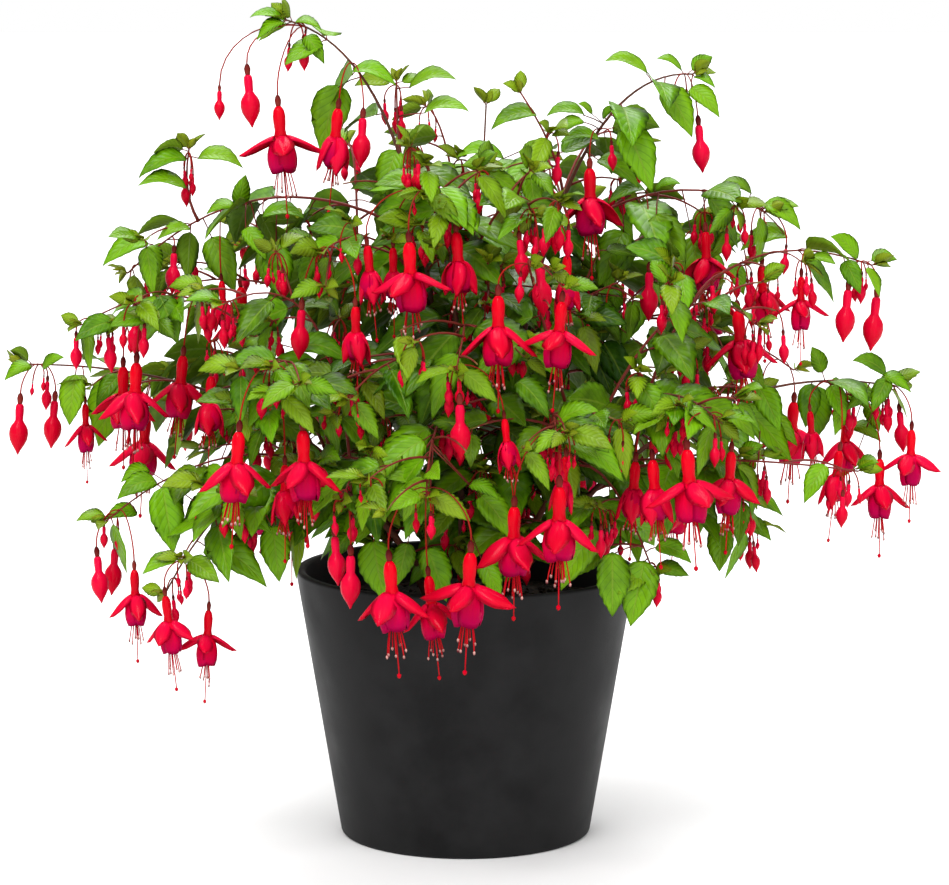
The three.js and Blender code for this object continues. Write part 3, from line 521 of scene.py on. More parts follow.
# The flower sprays: waxy blooms and buds that hang on thin red stalks from the leaf joints.
# Each bloom is a dark ovary, a glossy tube, four sepals, four petals that make a bell, eight
# stamens and a long style. Sizes are in mm for a full-grown bloom, and drops run down its axis.
OVARY_SHAPE = [(0, 0.8), (1.2, 1.7), (3.6, 2.4), (6.2, 2.1), (8.4, 1.6)]
TUBE_SHAPE = [(8, 1.9), (9, 2.8), (11, 3.9), (15, 4.6), (20, 4.4), (25, 3.9), (28, 4.4), (31, 5.5)]
BUD_SHAPE = [(8, 1.9), (9.5, 2.8), (13, 3.1), (17, 2.9), (20, 2.8), (22, 3.9), (24, 5.3),
             (26.5, 6.4), (30, 6.8), (34.5, 6.1), (38.5, 4.2), (42, 2.0), (45.5, 0.4)]
BUD_RIDGE = 0.05
SMALL_BUD = 0.62
BLOOM_LEAN = 0.22
BLOOM_TURN = 0.9
SLIM_FROM = 0.15
SLIM_SHARE = 0.85
SEPAL_START = 28.5
SEPAL_POSE = {"open": (27, 52), "wide": (32, 46), "half": (13, 60)}
OUT_STRAY = 3
TIP_STRAY = 5
SEPAL_ROOT = 4.3
SEPAL_HALF_WIDTH = 9.2
SEPAL_THICK = 0.9
SEPAL_BELLY = 0.58
SEPAL_HUG = 13
SEPAL_BEND = 0.24
SEPAL_TWIST = 0.9
SEPAL_CURL = 3.5
COROLLA_START = 28
COROLLA_HEM = 56
HALF_OPEN_RISE = 4
HEM_STRAY = 1.6
HEM_ROUND = 3.2
PETAL_ROOT = 3.6
PETAL_BULGE = 6.8
PETAL_SPREAD = 0.95
STAMENS = 8
GOLDEN_TURN = 2.4
THREAD_START = 46
THREAD_RADIUS = 0.58
STAMEN_OUT = 3.0
STAMEN_OUT_SPREAD = 4.2
STAMEN_LENGTH = 9
STAMEN_SPREAD = 9
STYLE_LENGTH = 31
ANTHER_HEAD = 0.85
STYLE_HEAD = 1.5
STALK_THIN = 0.48
STALK_THICK = 0.62
STALK_RED = (0.17, 0.020, 0.014)
STALK_BRIGHT = (0.28, 0.012, 0.008)
OVARY_MAROON = (0.060, 0.003, 0.004)
TUBE_SCARLET = (0.60, 0.0002, 0.009)
TUBE_CRIMSON = (0.42, 0.0002, 0.008)
SEPAL_CRIMSON = (0.62, 0.002, 0.036)
SEPAL_DEEP = (0.47, 0.0005, 0.014)
LINING_PINK = (0.60, 0.006, 0.032)
PETAL_ROSE = (0.58, 0.0005, 0.020)
PETAL_PURPLE = (0.34, 0.0003, 0.046)
THREAD_PINK = (0.42, 0.010, 0.012)
ANTHER_PALE = (0.66, 0.36, 0.32)
ANTHER_DARK = (0.10, 0.010, 0.016)
PETAL_SPECULAR = 0.005
COAT_IOR = 1.35
STREAK_SHARE = 0.035
STREAK_RELIEF = 0.5 * MM
# The finishes of the flowers and stems, in the order of their materials.
STALK, OVARY, TUBE, SEPAL, LINING, PETAL, THREAD, ANTHER, BARK, LEAF_TOP, LEAF_UNDER = range(11)
# A row is a joint on a stem and what hangs from it: for each flower its kind, how far it hangs to
# the right, back and below in mm, and its size.
SPRAYS = [
    ("top_left", "trunk", 0.94, [("wide", -20, -10, 46, 1), ("bud", -42, -5, 24, 1),
        ("small", -62, 0, 39, 0.9)]),
    ("top_left", "trunk", 0.78, [("half", -8, -18, 22, 0.95), ("bud", 9, -14, 29, 0.95)]),
    ("top_right", "trunk", 0.97, [("bud", 10, -6, 28, 0.92)]),
    ("top_right", "trunk", 0.66, [("open", -8, -32, 16, 1), ("small", 8, -20, 4, 0.8)]),
    ("top_right", "right_arch", 0.42, [("bud", 2, -32, 44, 0.95)]),
    ("top_right", "right_arch", 0.68, [("open", 4, 6, 22, 0.9)]),
    ("top_right", "right_arch", 0.97, [("open", 4, 12, 34, 0.9), ("small", 20, -8, 24, 0.8)]),
    ("right", "right_upper", 0.5, [("open", 12, -28, 10, 1)]),
    ("right", "right_upper", 0.82, [("wide", -6, -16, 10, 0.8)]),
    ("right", "right_upper", 0.97, [("bud", -10, -14, 10, 1), ("bud", 12, 0, 16, 1.05)]),
    ("top_left", "left_arch", 0.86, [("bud", 8, -20, 0, 0.8), ("bud", 20, 8, 12, 0.85)]),
    ("top_left", "left_arch", 0.66, [("half", 0, -10, 44, 0.75)]),
    ("left", "left_upper", 0.78, [("bud", -8, -16, 2, 0.85), ("open", -6, -22, 36, 1),
        ("open", -20, 18, 44, 0.95)]),
    ("left", "left_upper", 0.97, [("small", 12, -6, 6, 1.1), ("small", -12, 6, 8, 1)]),
    ("left", "left_upper", 0.6, [("open", -10, 6, 34, 0.95), ("half", 12, -22, 46, 0.9)]),
    ("left", "trunk", 0.97, [("bud", -14, -6, 20, 1), ("bud", 10, 8, 20, 0.95)]),
    ("left", "trunk", 0.9, [("open", 4, -10, 20, 0.74)]),
    ("left", "left_lower", 0.95, [("bud", -16, -6, 24, 0.9), ("bud", -4, 14, 22, 0.9),
        ("open", 12, -18, 32, 0.84)]),
    ("front_left", "trunk", 0.93, [("wide", 18, -4, 26, 0.82), ("open", -12, -18, 13, 0.84)]),
    ("front_left", "front_left_upper", 0.97, [("open", -22, -18, 34, 1), ("open", 20, -12, 34, 1),
        ("half", 6, 24, 64, 0.85)]),
    ("front", "trunk", 0.97, [("wide", -12, -32, 24, 1), ("half", 20, 0, 20, 0.95),
        ("half", -42, -2, 30, 0.85), ("half", -24, 26, 34, 0.8)]),
    ("top_left", "left_inner", 0.95, [("bud", -18, -6, 34, 0.95), ("half", 20, -32, 30, 0.85)]),
    ("front", "front_high", 0.95, [("bud", -8, -10, 12, 0.8), ("half", 26, 6, 24, 0.85),
        ("bud", 6, -18, 26, 1)]),
    ("front_right", "front_right_high", 0.97, [("open", -22, -6, 12, 1), ("wide", 22, -10, 16, 0.95)]),
    ("front", "front_middle", 0.97, [("bud", 2, -12, 16, 1), ("half", 32, 6, 30, 0.75)]),
    ("front_right", "front_right_low", 0.95, [("half", 8, 26, 12, 0.8), ("open", 2, -22, 24, 1.05),
        ("open", -28, 4, 42, 1)]),
    ("front", "front_low", 0.95, [("open", -26, -8, 40, 1), ("open", 0, 20, 56, 0.9),
        ("wide", 30, -7, 34, 1.05)]),
    ("front_left", "front_left_lower", 0.95, [("bud", -8, 6, 24, 0.9), ("bud", 4, -8, 34, 1)]),
    ("front_right", "trunk", 0.96, [("wide", -18, -26, 12, 1.05), ("open", 16, 12, 20, 0.9),
        ("half", -40, 2, 24, 0.95)]),
    ("front_right", "trunk", 0.7, [("half", -14, 4, 40, 0.9)]),
    ("right", "trunk", 0.86, [("half", -20, -4, 16, 0.75), ("open", 10, 16, 22, 0.85),
        ("open", 32, -2, 50, 0.9), ("half", 0, -34, 40, 0.85)]),
    ("right", "trunk", 0.98, [("wide", 17, -12, 24, 0.85), ("bud", 10, 10, 14, 0.8)]),
    ("right", "right_lower", 0.93, [("small", 4, -6, 14, 1)]),
    ("back_left", "trunk", 0.95, [("open", -14, 10, 26, 1), ("bud", 16, 12, 20, 0.9)]),
    ("back_left", "back_left_low", 0.93, [("open", -20, 18, 20, 0.95), ("half", 4, 34, 30, 1)]),
    ("left", "left_behind", 0.93, [("open", -14, 10, 24, 1), ("bud", 14, 12, 20, 0.9)]),
    ("back_right", "trunk", 0.95, [("open", 16, 10, 24, 1), ("half", -18, 16, 32, 0.9)]),
    ("back_right", "back_right_low", 0.93, [("open", 14, 8, 26, 1), ("bud", -14, 10, 20, 0.9)]),
    ("back_right", "back_right_side", 0.94, [("open", 12, 8, 24, 1), ("bud", -12, 12, 16, 0.9)]),
    ("back", "trunk", 0.96, [("open", -20, 6, 24, 1), ("half", 17, 16, 32, 1)]),
    ("back", "back_low_left", 0.94, [("open", -12, 10, 26, 1), ("bud", 14, 8, 20, 0.9)]),
    ("back", "back_low_right", 0.94, [("open", 12, 3, 26, 1), ("bud", -14, 8, 22, 0.9)]),
]

spun_bell = tube_form(len(TUBE_SHAPE) - 1, 12)
spun_ovary = tube_form(len(OVARY_SHAPE) - 1, 8)
spun_bud = tube_form(len(BUD_SHAPE) - 1, 12)
plain_bud = tube_form(len(BUD_SHAPE) - 1, 6)
stalk_form = tube_form(9, 5)
thread_form = tube_form(4, 3)
anther_form = tube_form(3, 4)
sepal_form = sheet_form(9, 4, False, True)
petal_form = sheet_form(6, 6, False, False)


class Flower:
    """The upright frame of one hanging flower: x and y across it, and its drop along its axis."""

    def __init__(self, growth, top, size, key, opened):
        self.growth = growth
        self.top = top
        self.size = size * MM
        self.girth = self.size * (min(1.0, SLIM_FROM + SLIM_SHARE * size) if opened else 1.0)
        self.key = key
        lean = [(draw(key, i, 3) - 0.5) * BLOOM_LEAN for i in (1, 2)]
        self.down = unit(np.array([lean[0], lean[1], -1.0]))
        self.across = unit(np.cross(self.down, (0.0, 1.0, 0.0)))
        self.back = np.cross(self.down, self.across)

    def draw(self, index):
        return draw(self.key, index, 17)

    def spot(self, out, angle, drop):
        """The place at a distance out from the axis, at an angle round it, and a drop down it."""
        flat = math.cos(angle) * self.across + math.sin(angle) * self.back
        return self.top + self.girth * out * flat + self.size * drop * self.down

    def round(self, form, shape, finish, ridge=0.0):
        drops, radii = np.array(shape).T
        path = self.top + self.size * drops[:, None] * self.down
        tone = (self.draw(1), 0, 0)
        self.growth.add(lay_tube(form, path, radii * self.girth, ridge), form, finish, tone)

    def sepal(self, angle, out, tip):
        out += OUT_STRAY * (self.draw(angle) - 0.5)
        tip += TIP_STRAY * (self.draw(angle + 1) - 0.5)
        s = sepal_form.spots[:, 0]
        shape = (0.52 + 1.85 * s - 2.05 * s ** 2) * np.clip((1.04 - s) * 2.6, 0, 1) ** 0.75
        start = self.spot(SEPAL_ROOT, angle, SEPAL_START)
        bend_drop = SEPAL_START + (tip - SEPAL_START) * SEPAL_BEND
        bend = self.spot(max(out * SEPAL_BELLY, SEPAL_HUG), angle, bend_drop)
        end = self.spot(out, angle, tip)
        across = math.cos(angle) * self.back - math.sin(angle) * self.across
        twist = SEPAL_TWIST * (self.draw(angle + 3) - 0.5)
        across = math.cos(twist) * across + math.sin(twist) * unit(np.cross(end - start, across))
        half = shape * SEPAL_HALF_WIDTH * self.girth
        cup = -(0.52 - 0.26 * s) * self.girth * SEPAL_HALF_WIDTH
        places = lay_sheet(sepal_form, (start, bend, end), across, half, cup, SEPAL_THICK * self.size)
        places = places - (SEPAL_CURL * self.size * s ** 4)[:, None] * self.down
        self.growth.add(places, sepal_form, SEPAL, (self.draw(angle), 0, 0), under=LINING)

    def petal(self, angle, closing):
        s, v, side = petal_form.spots.T
        hem = COROLLA_HEM - HALF_OPEN_RISE * closing + HEM_STRAY * (self.draw(angle + 2) - 0.5)
        hem = hem - HEM_ROUND * v ** 2
        drop = COROLLA_START + (hem - COROLLA_START) * s
        out = PETAL_ROOT + PETAL_BULGE * np.sin(s * (2.42 + 0.35 * closing)) ** 0.8
        out = out + 0.3 * v + 0.3 * side + 0.5 * s ** 3 * np.sin(5 * v + angle * 3)
        turn = angle + v * (PETAL_SPREAD + 0.15 * s)
        flat = np.cos(turn)[:, None] * self.across + np.sin(turn)[:, None] * self.back
        places = self.top + self.girth * out[:, None] * flat + self.size * drop[:, None] * self.down
        self.growth.add(places, petal_form, PETAL, (self.draw(angle), 0, 0))

    def threads(self, full):
        for i in range(STAMENS + 1):
            style = i == STAMENS
            angle = i * GOLDEN_TURN + self.draw(30)
            out = 0.6 if style else STAMEN_OUT + STAMEN_OUT_SPREAD * self.draw(i + 40)
            stamen = (STAMEN_LENGTH + STAMEN_SPREAD * self.draw(i + 50)) * full
            length = STYLE_LENGTH if style else stamen
            foot = self.spot(out * 0.3, angle, THREAD_START)
            bend = self.spot(out * 0.8, angle, COROLLA_HEM)
            end = self.spot(out * 1.15, angle, COROLLA_HEM + length)
            path = curve_points((foot, bend, end), 4)
            thin = np.full(5, THREAD_RADIUS) * self.size
            self.growth.add(lay_tube(thread_form, path, thin), thread_form, THREAD, (self.draw(i), 0, 0))
            head = STYLE_HEAD if style else ANTHER_HEAD
            drops = np.array([-1.6, -0.8, 0.3, 1.1])[:, None] * (1.3 if style else 1.0)
            tip = end + self.size * drops * self.down
            radii = np.array([0.35, 1.0, 0.9, 0.3]) * head * self.size
            finish = THREAD if style else ANTHER
            self.growth.add(lay_tube(anther_form, tip, radii), anther_form, finish, (self.draw(i), 0, 0))


def add_stalk(growth, joint, flower):
    """The thin stalk of a flower, which leaves its joint sideways and then hangs."""
    top = flower.top
    reach = np.linalg.norm(top - joint)
    rise = joint + (top - joint) * (0.45, 0.45, 0) + (0, 0, reach * 0.12)
    fall = top - flower.down * reach * 0.42
    s = np.linspace(0, 1, 10)[:, None]
    path = (1 - s) ** 3 * joint + 3 * s * (1 - s) ** 2 * rise + 3 * s ** 2 * (1 - s) * fall + s ** 3 * top
    radii = np.linspace(STALK_THIN, STALK_THICK, 10) * MM
    growth.add(lay_tube(stalk_form, path, radii), stalk_form, STALK, (draw(flower.key, 5, 5), 0, 0))


def hang_flower(growth, joint, top, kind, size, key):
    """A bloom or bud of one kind, with its stalk. A young bud has fewer faces."""
    flower = Flower(growth, top, size * (SMALL_BUD if kind == "small" else 1), key, kind in SEPAL_POSE)
    add_stalk(growth, joint, flower)
    flower.round(spun_ovary, OVARY_SHAPE, OVARY)
    if kind == "young":
        flower.round(plain_bud, BUD_SHAPE, SEPAL)
        return
    if kind in ("bud", "small"):
        flower.round(spun_bud, BUD_SHAPE, SEPAL, BUD_RIDGE)
        return
    flower.round(spun_bell, TUBE_SHAPE, TUBE)
    turn = (draw(key, 7, 7) - 0.5) * BLOOM_TURN
    out, tip = SEPAL_POSE[kind]
    for i in range(4):
        flower.sepal(turn + i * math.pi / 2, out, tip)
        flower.petal(turn + (i + 0.5) * math.pi / 2, kind == "half")
    flower.threads(0.6 if kind == "half" else 1.0)


def flower_finish(name, plain, deep, roughness, streaks, coat=0.0, sheen=0.09):
    """A petal finish: two colours along the form, with fine streaks that run down it."""
    material = new_material(name, roughness, PETAL_SPECULAR)
    s, v = form_map(material)
    lines = maths(material, "SINE", maths(material, "MULTIPLY", v, streaks * 2 * math.pi))
    lines = maths(material, "MULTIPLY", lines, STREAK_SHARE)
    depth = maths(material, "ADD", maths(material, "ADD", s, lines),
                  spread(material, tone_part(material, 0), 0, 1, -0.3, 0.3))
    to_shader(material, "Base Color", blend(material, spread(material, depth, 0.05, 0.95), plain, deep))
    add_bump(material, lines, STREAK_RELIEF, 0.5)
    shader = material.node_tree.nodes["Principled BSDF"]
    shader.inputs["Coat Weight"].default_value = coat
    shader.inputs["Coat Roughness"].default_value = sheen
    shader.inputs["Coat IOR"].default_value = COAT_IOR
    return material


flower_materials = [
    flower_finish("red_stalk", STALK_RED, STALK_BRIGHT, 0.5, 2),
    flower_finish("maroon_ovary", OVARY_MAROON, STALK_RED, 0.35, 3, 0.15),
    flower_finish("scarlet_tube", TUBE_SCARLET, TUBE_CRIMSON, 0.34, 8, 0.2),
    # The sepals and buds are paler and pinker at their base than at their deep crimson tips: partly their
    # own colour, partly a painted highlight.
    flower_finish("crimson_sepal", SEPAL_CRIMSON, SEPAL_DEEP, 0.40, 7, 0.2, 0.16),
    flower_finish("pink_sepal_lining", SEPAL_DEEP, LINING_PINK, 0.5, 7),
    flower_finish("purple_petal", PETAL_ROSE, PETAL_PURPLE, 0.42, 6, 0.06, 0.2),
    flower_finish("pink_filament", SEPAL_DEEP, THREAD_PINK, 0.4, 1),
    flower_finish("pale_anther", ANTHER_PALE, ANTHER_DARK, 0.6, 1),
]
for number, (rooted, shoot, at, hangs) in enumerate(SPRAYS, 1):
    stem = stems[rooted][shoot]
    growth = Growth()
    held = stem.knot_point(at)
    for kind, right, back, low, size in hangs:
        top = held + np.array([right, back, -low]) * MM
        hang_flower(growth, stem.point(at), top, kind, size, number * 7 + right)
    name = f"flower_spray_{number:02d}"
    spray = growth.make(f"blooms_{number:02d}", flower_materials)
    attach(spray, "root")
    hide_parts(name)


# Leaves: oval, pointed and toothed, with a sunk midrib and side veins that curve to the tip.
# They droop from short red stalks, and the young ones at the tips are small and yellow-green.
# Lengths are in mm, and the sizes of leaves are shares of a full-grown one.
LEAF_LENGTH = 50
LEAF_WIDTH = 29
LEAF_STALK = 9
LEAF_THICK = 0.35
LEAF_WAVE = 0.018
LEAF_HANG = 0.75
SMALL_BELOW = 26
FIRST_LEAF = 0.5
FIRST_PAIR = 0.985
TIP_SIZES = (0.34, 0.22, 0.13)
TIP_LEAF = 0.35
YOUNG_SIZE = 0.55
LEAF_SPACING = 26
LEAFY_SHARE = 0.8
BARE_BELOW = 215
TWIG_RADIUS = 1.0
TWIG_REACH = 30
TWIG_SPREAD = 38
TWIG_SPACING = 27
TWIG_LEAF_SPACING = 19
TWIGS_ABOVE = 200
LOW_TWIGS = 330
LOW_SPACING = 13
BUDDING = 0.6
CORE_CENTRE = (0, 0, 340)
CORE_REACH = (240, 205, 150)
SHOWN_BEHIND = 60 * MM
BACK_STEPS = (0, 15, 30, 45, 60)
LARGE_WIDTH = 0.52
LARGE_CUP = 0.32
TILT_RISE = 3.0
TILT_LOW = 0.3
VEIN_LAG = 0.30
VEIN_PITCH = 7.5
# Leaves that stand out in the picture, by the stem they are on: how far the base of each is to the
# right, back and up, and its tip to the right and up, in mm. A tip is TIP_NEARER than its base.
TIP_NEARER = 8
LARGE_LEAVES = {
    "top_left": [
        (-166, 15, 460, -189, 456), (-166, 20, 461, -160, 485), (-148, 0, 455, -116, 454),
        (-160, -5, 447, -144, 424), (-201, 15, 445, -225, 437), (-131, 0, 442, -111, 434),
        (-57, -15, 471, -83, 476), (-92, 12, 550, -105, 501), (-149, 20, 429, -134, 393),
        (-128, -30, 596, -153, 599), (-129, -35, 596, -148, 583), (-122, -25, 595, -102, 590),
        (-114, -30, 586, -100, 566), (-81, -20, 561, -49, 550), (-41, 0, 548, -6, 554),
        (-30, 0, 530, 3, 531), (-49, -10, 504, -61, 470), (-203, 15, 496, -238, 482),
        (-196, 25, 496, -162, 489), (-203, 10, 475, -238, 477), (-232, 15, 435, -265, 418),
        (-230, 5, 434, -223, 411), (-187, 0, 438, -169, 397), (-138, 0, 436, -134, 395),
    ],
    "left": [
        (-257, 15, 334, -273, 281), (-309, 0, 344, -292, 353), (-235, -60, 247, -258, 243),
        (-180, -60, 258, -201, 243), (-197, -60, 308, -219, 290), (-166, -70, 309, -188, 296),
        (-217, -60, 403, -204, 369), (-317, 0, 346, -336, 336), (-285, 0, 340, -289, 303),
        (-254, 0, 337, -271, 314), (-215, -80, 269, -207, 222), (-220, -70, 271, -248, 259),
        (-179, -70, 309, -194, 273), (-121, -80, 368, -80, 357),
    ],
    "front_left": [
        (-226, -60, 278, -246, 270), (-183, -110, 231, -139, 203), (-171, -110, 255, -135, 241),
        (-136, -100, 245, -131, 205), (-45, -150, 305, -64, 278),
    ],
    "top_right": [
        (166, 25, 439, 173, 398), (120, 35, 439, 102, 397), (99, 25, 465, 123, 436),
        (28, -20, 498, -7, 499), (26, -25, 471, -6, 485), (46, -35, 489, 50, 460), (86, -5, 529, 58, 528),
        (85, -15, 525, 65, 514), (92, 0, 529, 81, 537), (99, 0, 526, 108, 535), (97, -5, 511, 68, 509),
        (96, -10, 496, 126, 475), (130, -10, 475, 103, 464), (137, 0, 474, 156, 479),
        (136, -30, 459, 157, 414), (233, -10, 442, 198, 431), (116, -20, 444, 97, 403),
        (65, -30, 443, 91, 422), (132, 5, 558, 100, 567), (157, 10, 560, 138, 569), (165, 0, 556, 180, 548),
        (143, -10, 548, 163, 513), (162, -5, 548, 183, 527), (114, -20, 521, 134, 474),
        (51, -25, 530, 18, 519), (173, -20, 460, 178, 424), (207, -10, 472, 184, 480),
        (215, -20, 466, 241, 447),
    ],
    "back_right": [
        (180, 70, 423, 191, 396), (199, 75, 415, 208, 391), (175, 60, 412, 167, 389),
    ],
    "right": [
        (297, 25, 315, 305, 295), (166, 30, 369, 173, 346), (259, 32, 328, 259, 288),
        (281, 25, 321, 299, 310), (286, 28, 298, 307, 287), (293, 25, 280, 278, 257),
        (306, -12, 341, 280, 352), (260, -8, 342, 251, 362), (216, 15, 330, 232, 299),
        (254, -5, 332, 249, 300), (265, -10, 333, 276, 307), (297, -15, 327, 276, 316),
        (306, -20, 339, 294, 315), (211, -30, 335, 227, 302), (200, -40, 353, 216, 333),
        (202, 10, 440, 179, 422), (280, -50, 429, 259, 445), (269, -60, 428, 280, 405),
        (216, -40, 308, 243, 287), (255, -80, 285, 240, 258), (302, -15, 340, 323, 329),
        (206, 10, 229, 225, 216), (189, 10, 229, 187, 193),
    ],
    "front_right": [
        (126, -115, 222, 116, 176), (103, -120, 229, 103, 184), (134, -110, 231, 159, 220),
        (71, -160, 313, 109, 285), (55, -165, 317, 32, 294), (62, -160, 324, 92, 334),
        (36, -150, 353, 58, 327), (121, -140, 349, 138, 319), (177, -130, 331, 201, 310),
        (163, -135, 329, 135, 311),
    ],
    "front": [
        (-65, -118, 237, -57, 195), (-40, -135, 238, -47, 209), (-27, -122, 232, -13, 195),
        (12, -118, 222, 25, 195), (92, -112, 244, 67, 201), (10, -150, 271, 34, 239),
        (-79, -120, 240, -96, 223), (39, -114, 222, 28, 198), (-23, -160, 279, -54, 287),
        (-25, -165, 278, -41, 246), (3, -150, 281, 24, 271),
    ],
    "heart": [
        (-26, 60, 300, -22, 275), (-78, 70, 387, -72, 364), (-64, 64, 371, -67, 350),
        (113, 60, 399, 109, 376), (63, 60, 433, 67, 411), (98, 66, 232, 110, 210), (-53, 60, 224, -61, 201),
        (-36, 66, 224, -28, 201), (-22, 58, 224, -14, 204), (99, 60, 234, 104, 210),
        (130, 30, 391, 115, 358), (102, 35, 391, 99, 357), (92, 25, 355, 108, 321), (3, -20, 309, -11, 273),
        (29, -30, 303, 54, 275), (-33, 10, 393, -11, 365), (25, 10, 430, 3, 394), (101, 25, 361, 120, 324),
        (133, 35, 357, 101, 326), (99, 15, 246, 124, 210), (134, 30, 233, 100, 201),
        (91, 20, 392, 113, 363), (70, 25, 243, 99, 210),
    ],
}
# Open air between the shoots, seen from the camera's place, which all leaves but the smallest keep
# out of: the middle of each gap to the right and up, and its radius, in mm.
CAMERA_PLACE = (0.00656, -2.5, 0.636)
OPEN_AIR = [
    (32, 561, 26), (9, 528, 16), (-163, 510, 19), (-113, 489, 19), (-75, 480, 7),
    (160, 494, 20), (202, 518, 35), (266, 474, 26), (-157, 417, 9), (-284, 401, 22),
    (-185, 376, 9), (-261, 272, 20), (-142, 269, 7), (-166, 156, 20), (233, 356, 16),
    (235, 332, 12), (235, 259, 15), (-253, 365, 8), (-210, 180, 9), (-100, 226, 7),
    (68, 568, 25), (-185, 378, 9), (-157, 396, 7), (-149, 278, 9), (-178, 282, 8),
]
LARGE_LEAF = sheet_form(14, 4, True, True)
SMALL_LEAF = sheet_form(12, 2, True, True)
PETIOLE = tube_form(2, 3)
LEAF_DARK = (0.014, 0.064, 0.0002)
LEAF_MID = (0.122, 0.305, 0.002)
LEAF_YOUNG = (0.250, 0.270, 0.010)
LEAF_VEIN = (0.165, 0.260, 0.018)
UNDER_DARK = (0.035, 0.085, 0.003)
UNDER_MID = (0.088, 0.178, 0.006)
UNDER_VEIN = (0.150, 0.215, 0.050)


def leaf_shape(form):
    """The half width of a leaf along its length, with forward teeth on its edge."""
    s, v, side = form.spots.T
    oval = s ** 0.66 * np.clip(1 - s, 0, 1) ** 1.12
    oval /= oval.max()
    row = np.rint(s * (len(np.unique(s)) - 1))
    tooth = np.where((np.abs(v) == 1) & (row % 2 == 1), 0.05, -0.015)
    return np.clip(oval + tooth * np.abs(v) * np.sin(math.pi * s), 0, 1)


LEAF_SHAPES = {id(form): leaf_shape(form) for form in (LARGE_LEAF, SMALL_LEAF)}


def bloom_balls():
    """Balls that enclose every bloom and bud, which the leaves keep out of."""
    centres, radii = [], []
    for rooted, shoot, at, hangs in SPRAYS:
        held = stems[rooted][shoot].knot_point(at)
        for kind, right, back, low, size in hangs:
            bud = kind in ("bud", "small")
            size *= SMALL_BUD if kind == "small" else 1
            drops = ((20, 7), (34, 8)) if bud else ((14, 7), (36, 19), (50, 20))
            for drop, radius in drops:
                centres.append(held + np.array([right, back, -low - drop * size]) * MM)
                radii.append(radius * size * MM)
    return np.array(centres), np.array(radii)


ball_centres, ball_radii = bloom_balls()


def meets_bloom(places):
    """Whether a leaf would pierce a bloom, or hang close in front of one."""
    apart = places[:, None, :] - ball_centres[None]
    pierced = np.linalg.norm(apart, axis=2) < ball_radii
    facing = np.where(ball_centres[:, 1] < 0.03, -1, 1)
    before = apart[:, :, 1] * facing
    beside = np.linalg.norm(apart[:, :, [0, 2]], axis=2)
    hidden = (before > 0) & (before < SHOWN_BEHIND) & (beside < ball_radii * 0.9)
    return bool((pierced | hidden).any())


def in_open_air(places):
    """Whether any of the places is seen in one of the gaps, from the camera's side."""
    eye = np.array(CAMERA_PLACE)
    seen = eye + (places - eye) * (eye[1] / (eye[1] - places[:, 1:2]))
    gaps = np.array(OPEN_AIR) * MM
    apart = np.linalg.norm(seen[:, None, [0, 2]] - gaps[None, :, :2], axis=2)
    return bool((apart < gaps[:, 2]).any())


def inside_frame(places):
    """Whether a leaf stays in the box of the solids and out of the pot's wall."""
    low, high = (np.array(corner) for corner in cad_box)
    if (places < low + MM).any() or (places > high - MM).any():
        return False
    out = np.linalg.norm(places[:, :2], axis=1)
    return not ((places[:, 2] < POT_HEIGHT + 2 * MM) & (out > POT_FOOT_RADIUS)
                & (out < POT_RIM_RADIUS + 2 * MM)).any()


def add_blade(growth, stalk, curve, face, wide, lift, youth, key):
    """Places a leaf on its stalk, with its top turned to face one way, and says if it had room."""
    start, bend, end = curve
    across = unit(np.cross(end - start, face))
    long = np.linalg.norm(end - start)
    form = LARGE_LEAF if long > SMALL_BELOW * MM else SMALL_LEAF
    half = LEAF_SHAPES[id(form)] * wide / 2
    s = form.spots[:, 0]
    wave = LEAF_WAVE * long * np.sin(s * 9 + 6.3 * draw(key, 3, 3)) * np.sin(math.pi * s)
    places = lay_sheet(form, curve, across, half, lift * half, LEAF_THICK * MM, wave)
    if meets_bloom(places[::5]) or not inside_frame(places):
        return False
    # The tone darkens the leaves in the dense core of the bush as painted shade, on top of a random tone for
    # each leaf.
    tone = 0.75 * draw(key, 1, 1) + 0.7 * (edge(places.mean(axis=0)) - 0.6)
    growth.add(places, form, LEAF_TOP, (min(1, max(0, tone)), youth, 0), under=LEAF_UNDER)
    middle = (stalk + start) / 2 + (0, 0, 0.01 * long)
    path = np.array([stalk, middle, start + (end - start) * 0.04])
    radii = np.array([0.7, 0.6, 0.5]) * MM * min(1, 0.4 + long / (LEAF_LENGTH * MM))
    growth.add(lay_tube(PETIOLE, path, radii), PETIOLE, BARK, (draw(key, 2, 2), 0.65, 0))
    return True


def add_leaf(growth, base, out, size, droop, lift, youth, key):
    """A leaf that grows outwards, turned so that its top looks up, outwards and a little askew."""
    face = np.array([base[0] * 2.4, math.copysign(0.55, base[1] - 0.02) + base[1] * 2, 0.75])
    face += [1.1 * (draw(key, i, 8) - 0.5) for i in (1, 2, 3)]
    long = LEAF_LENGTH * size * MM
    start = base + out * LEAF_STALK * size * MM
    curve = (start, start + out * long / 2, start + out * long - np.array([0, 0, droop * long]))
    if size > TIP_LEAF and in_open_air(np.array(curve)):
        return
    add_blade(growth, base, curve, face, LEAF_WIDTH * size * MM, lift, youth, key)


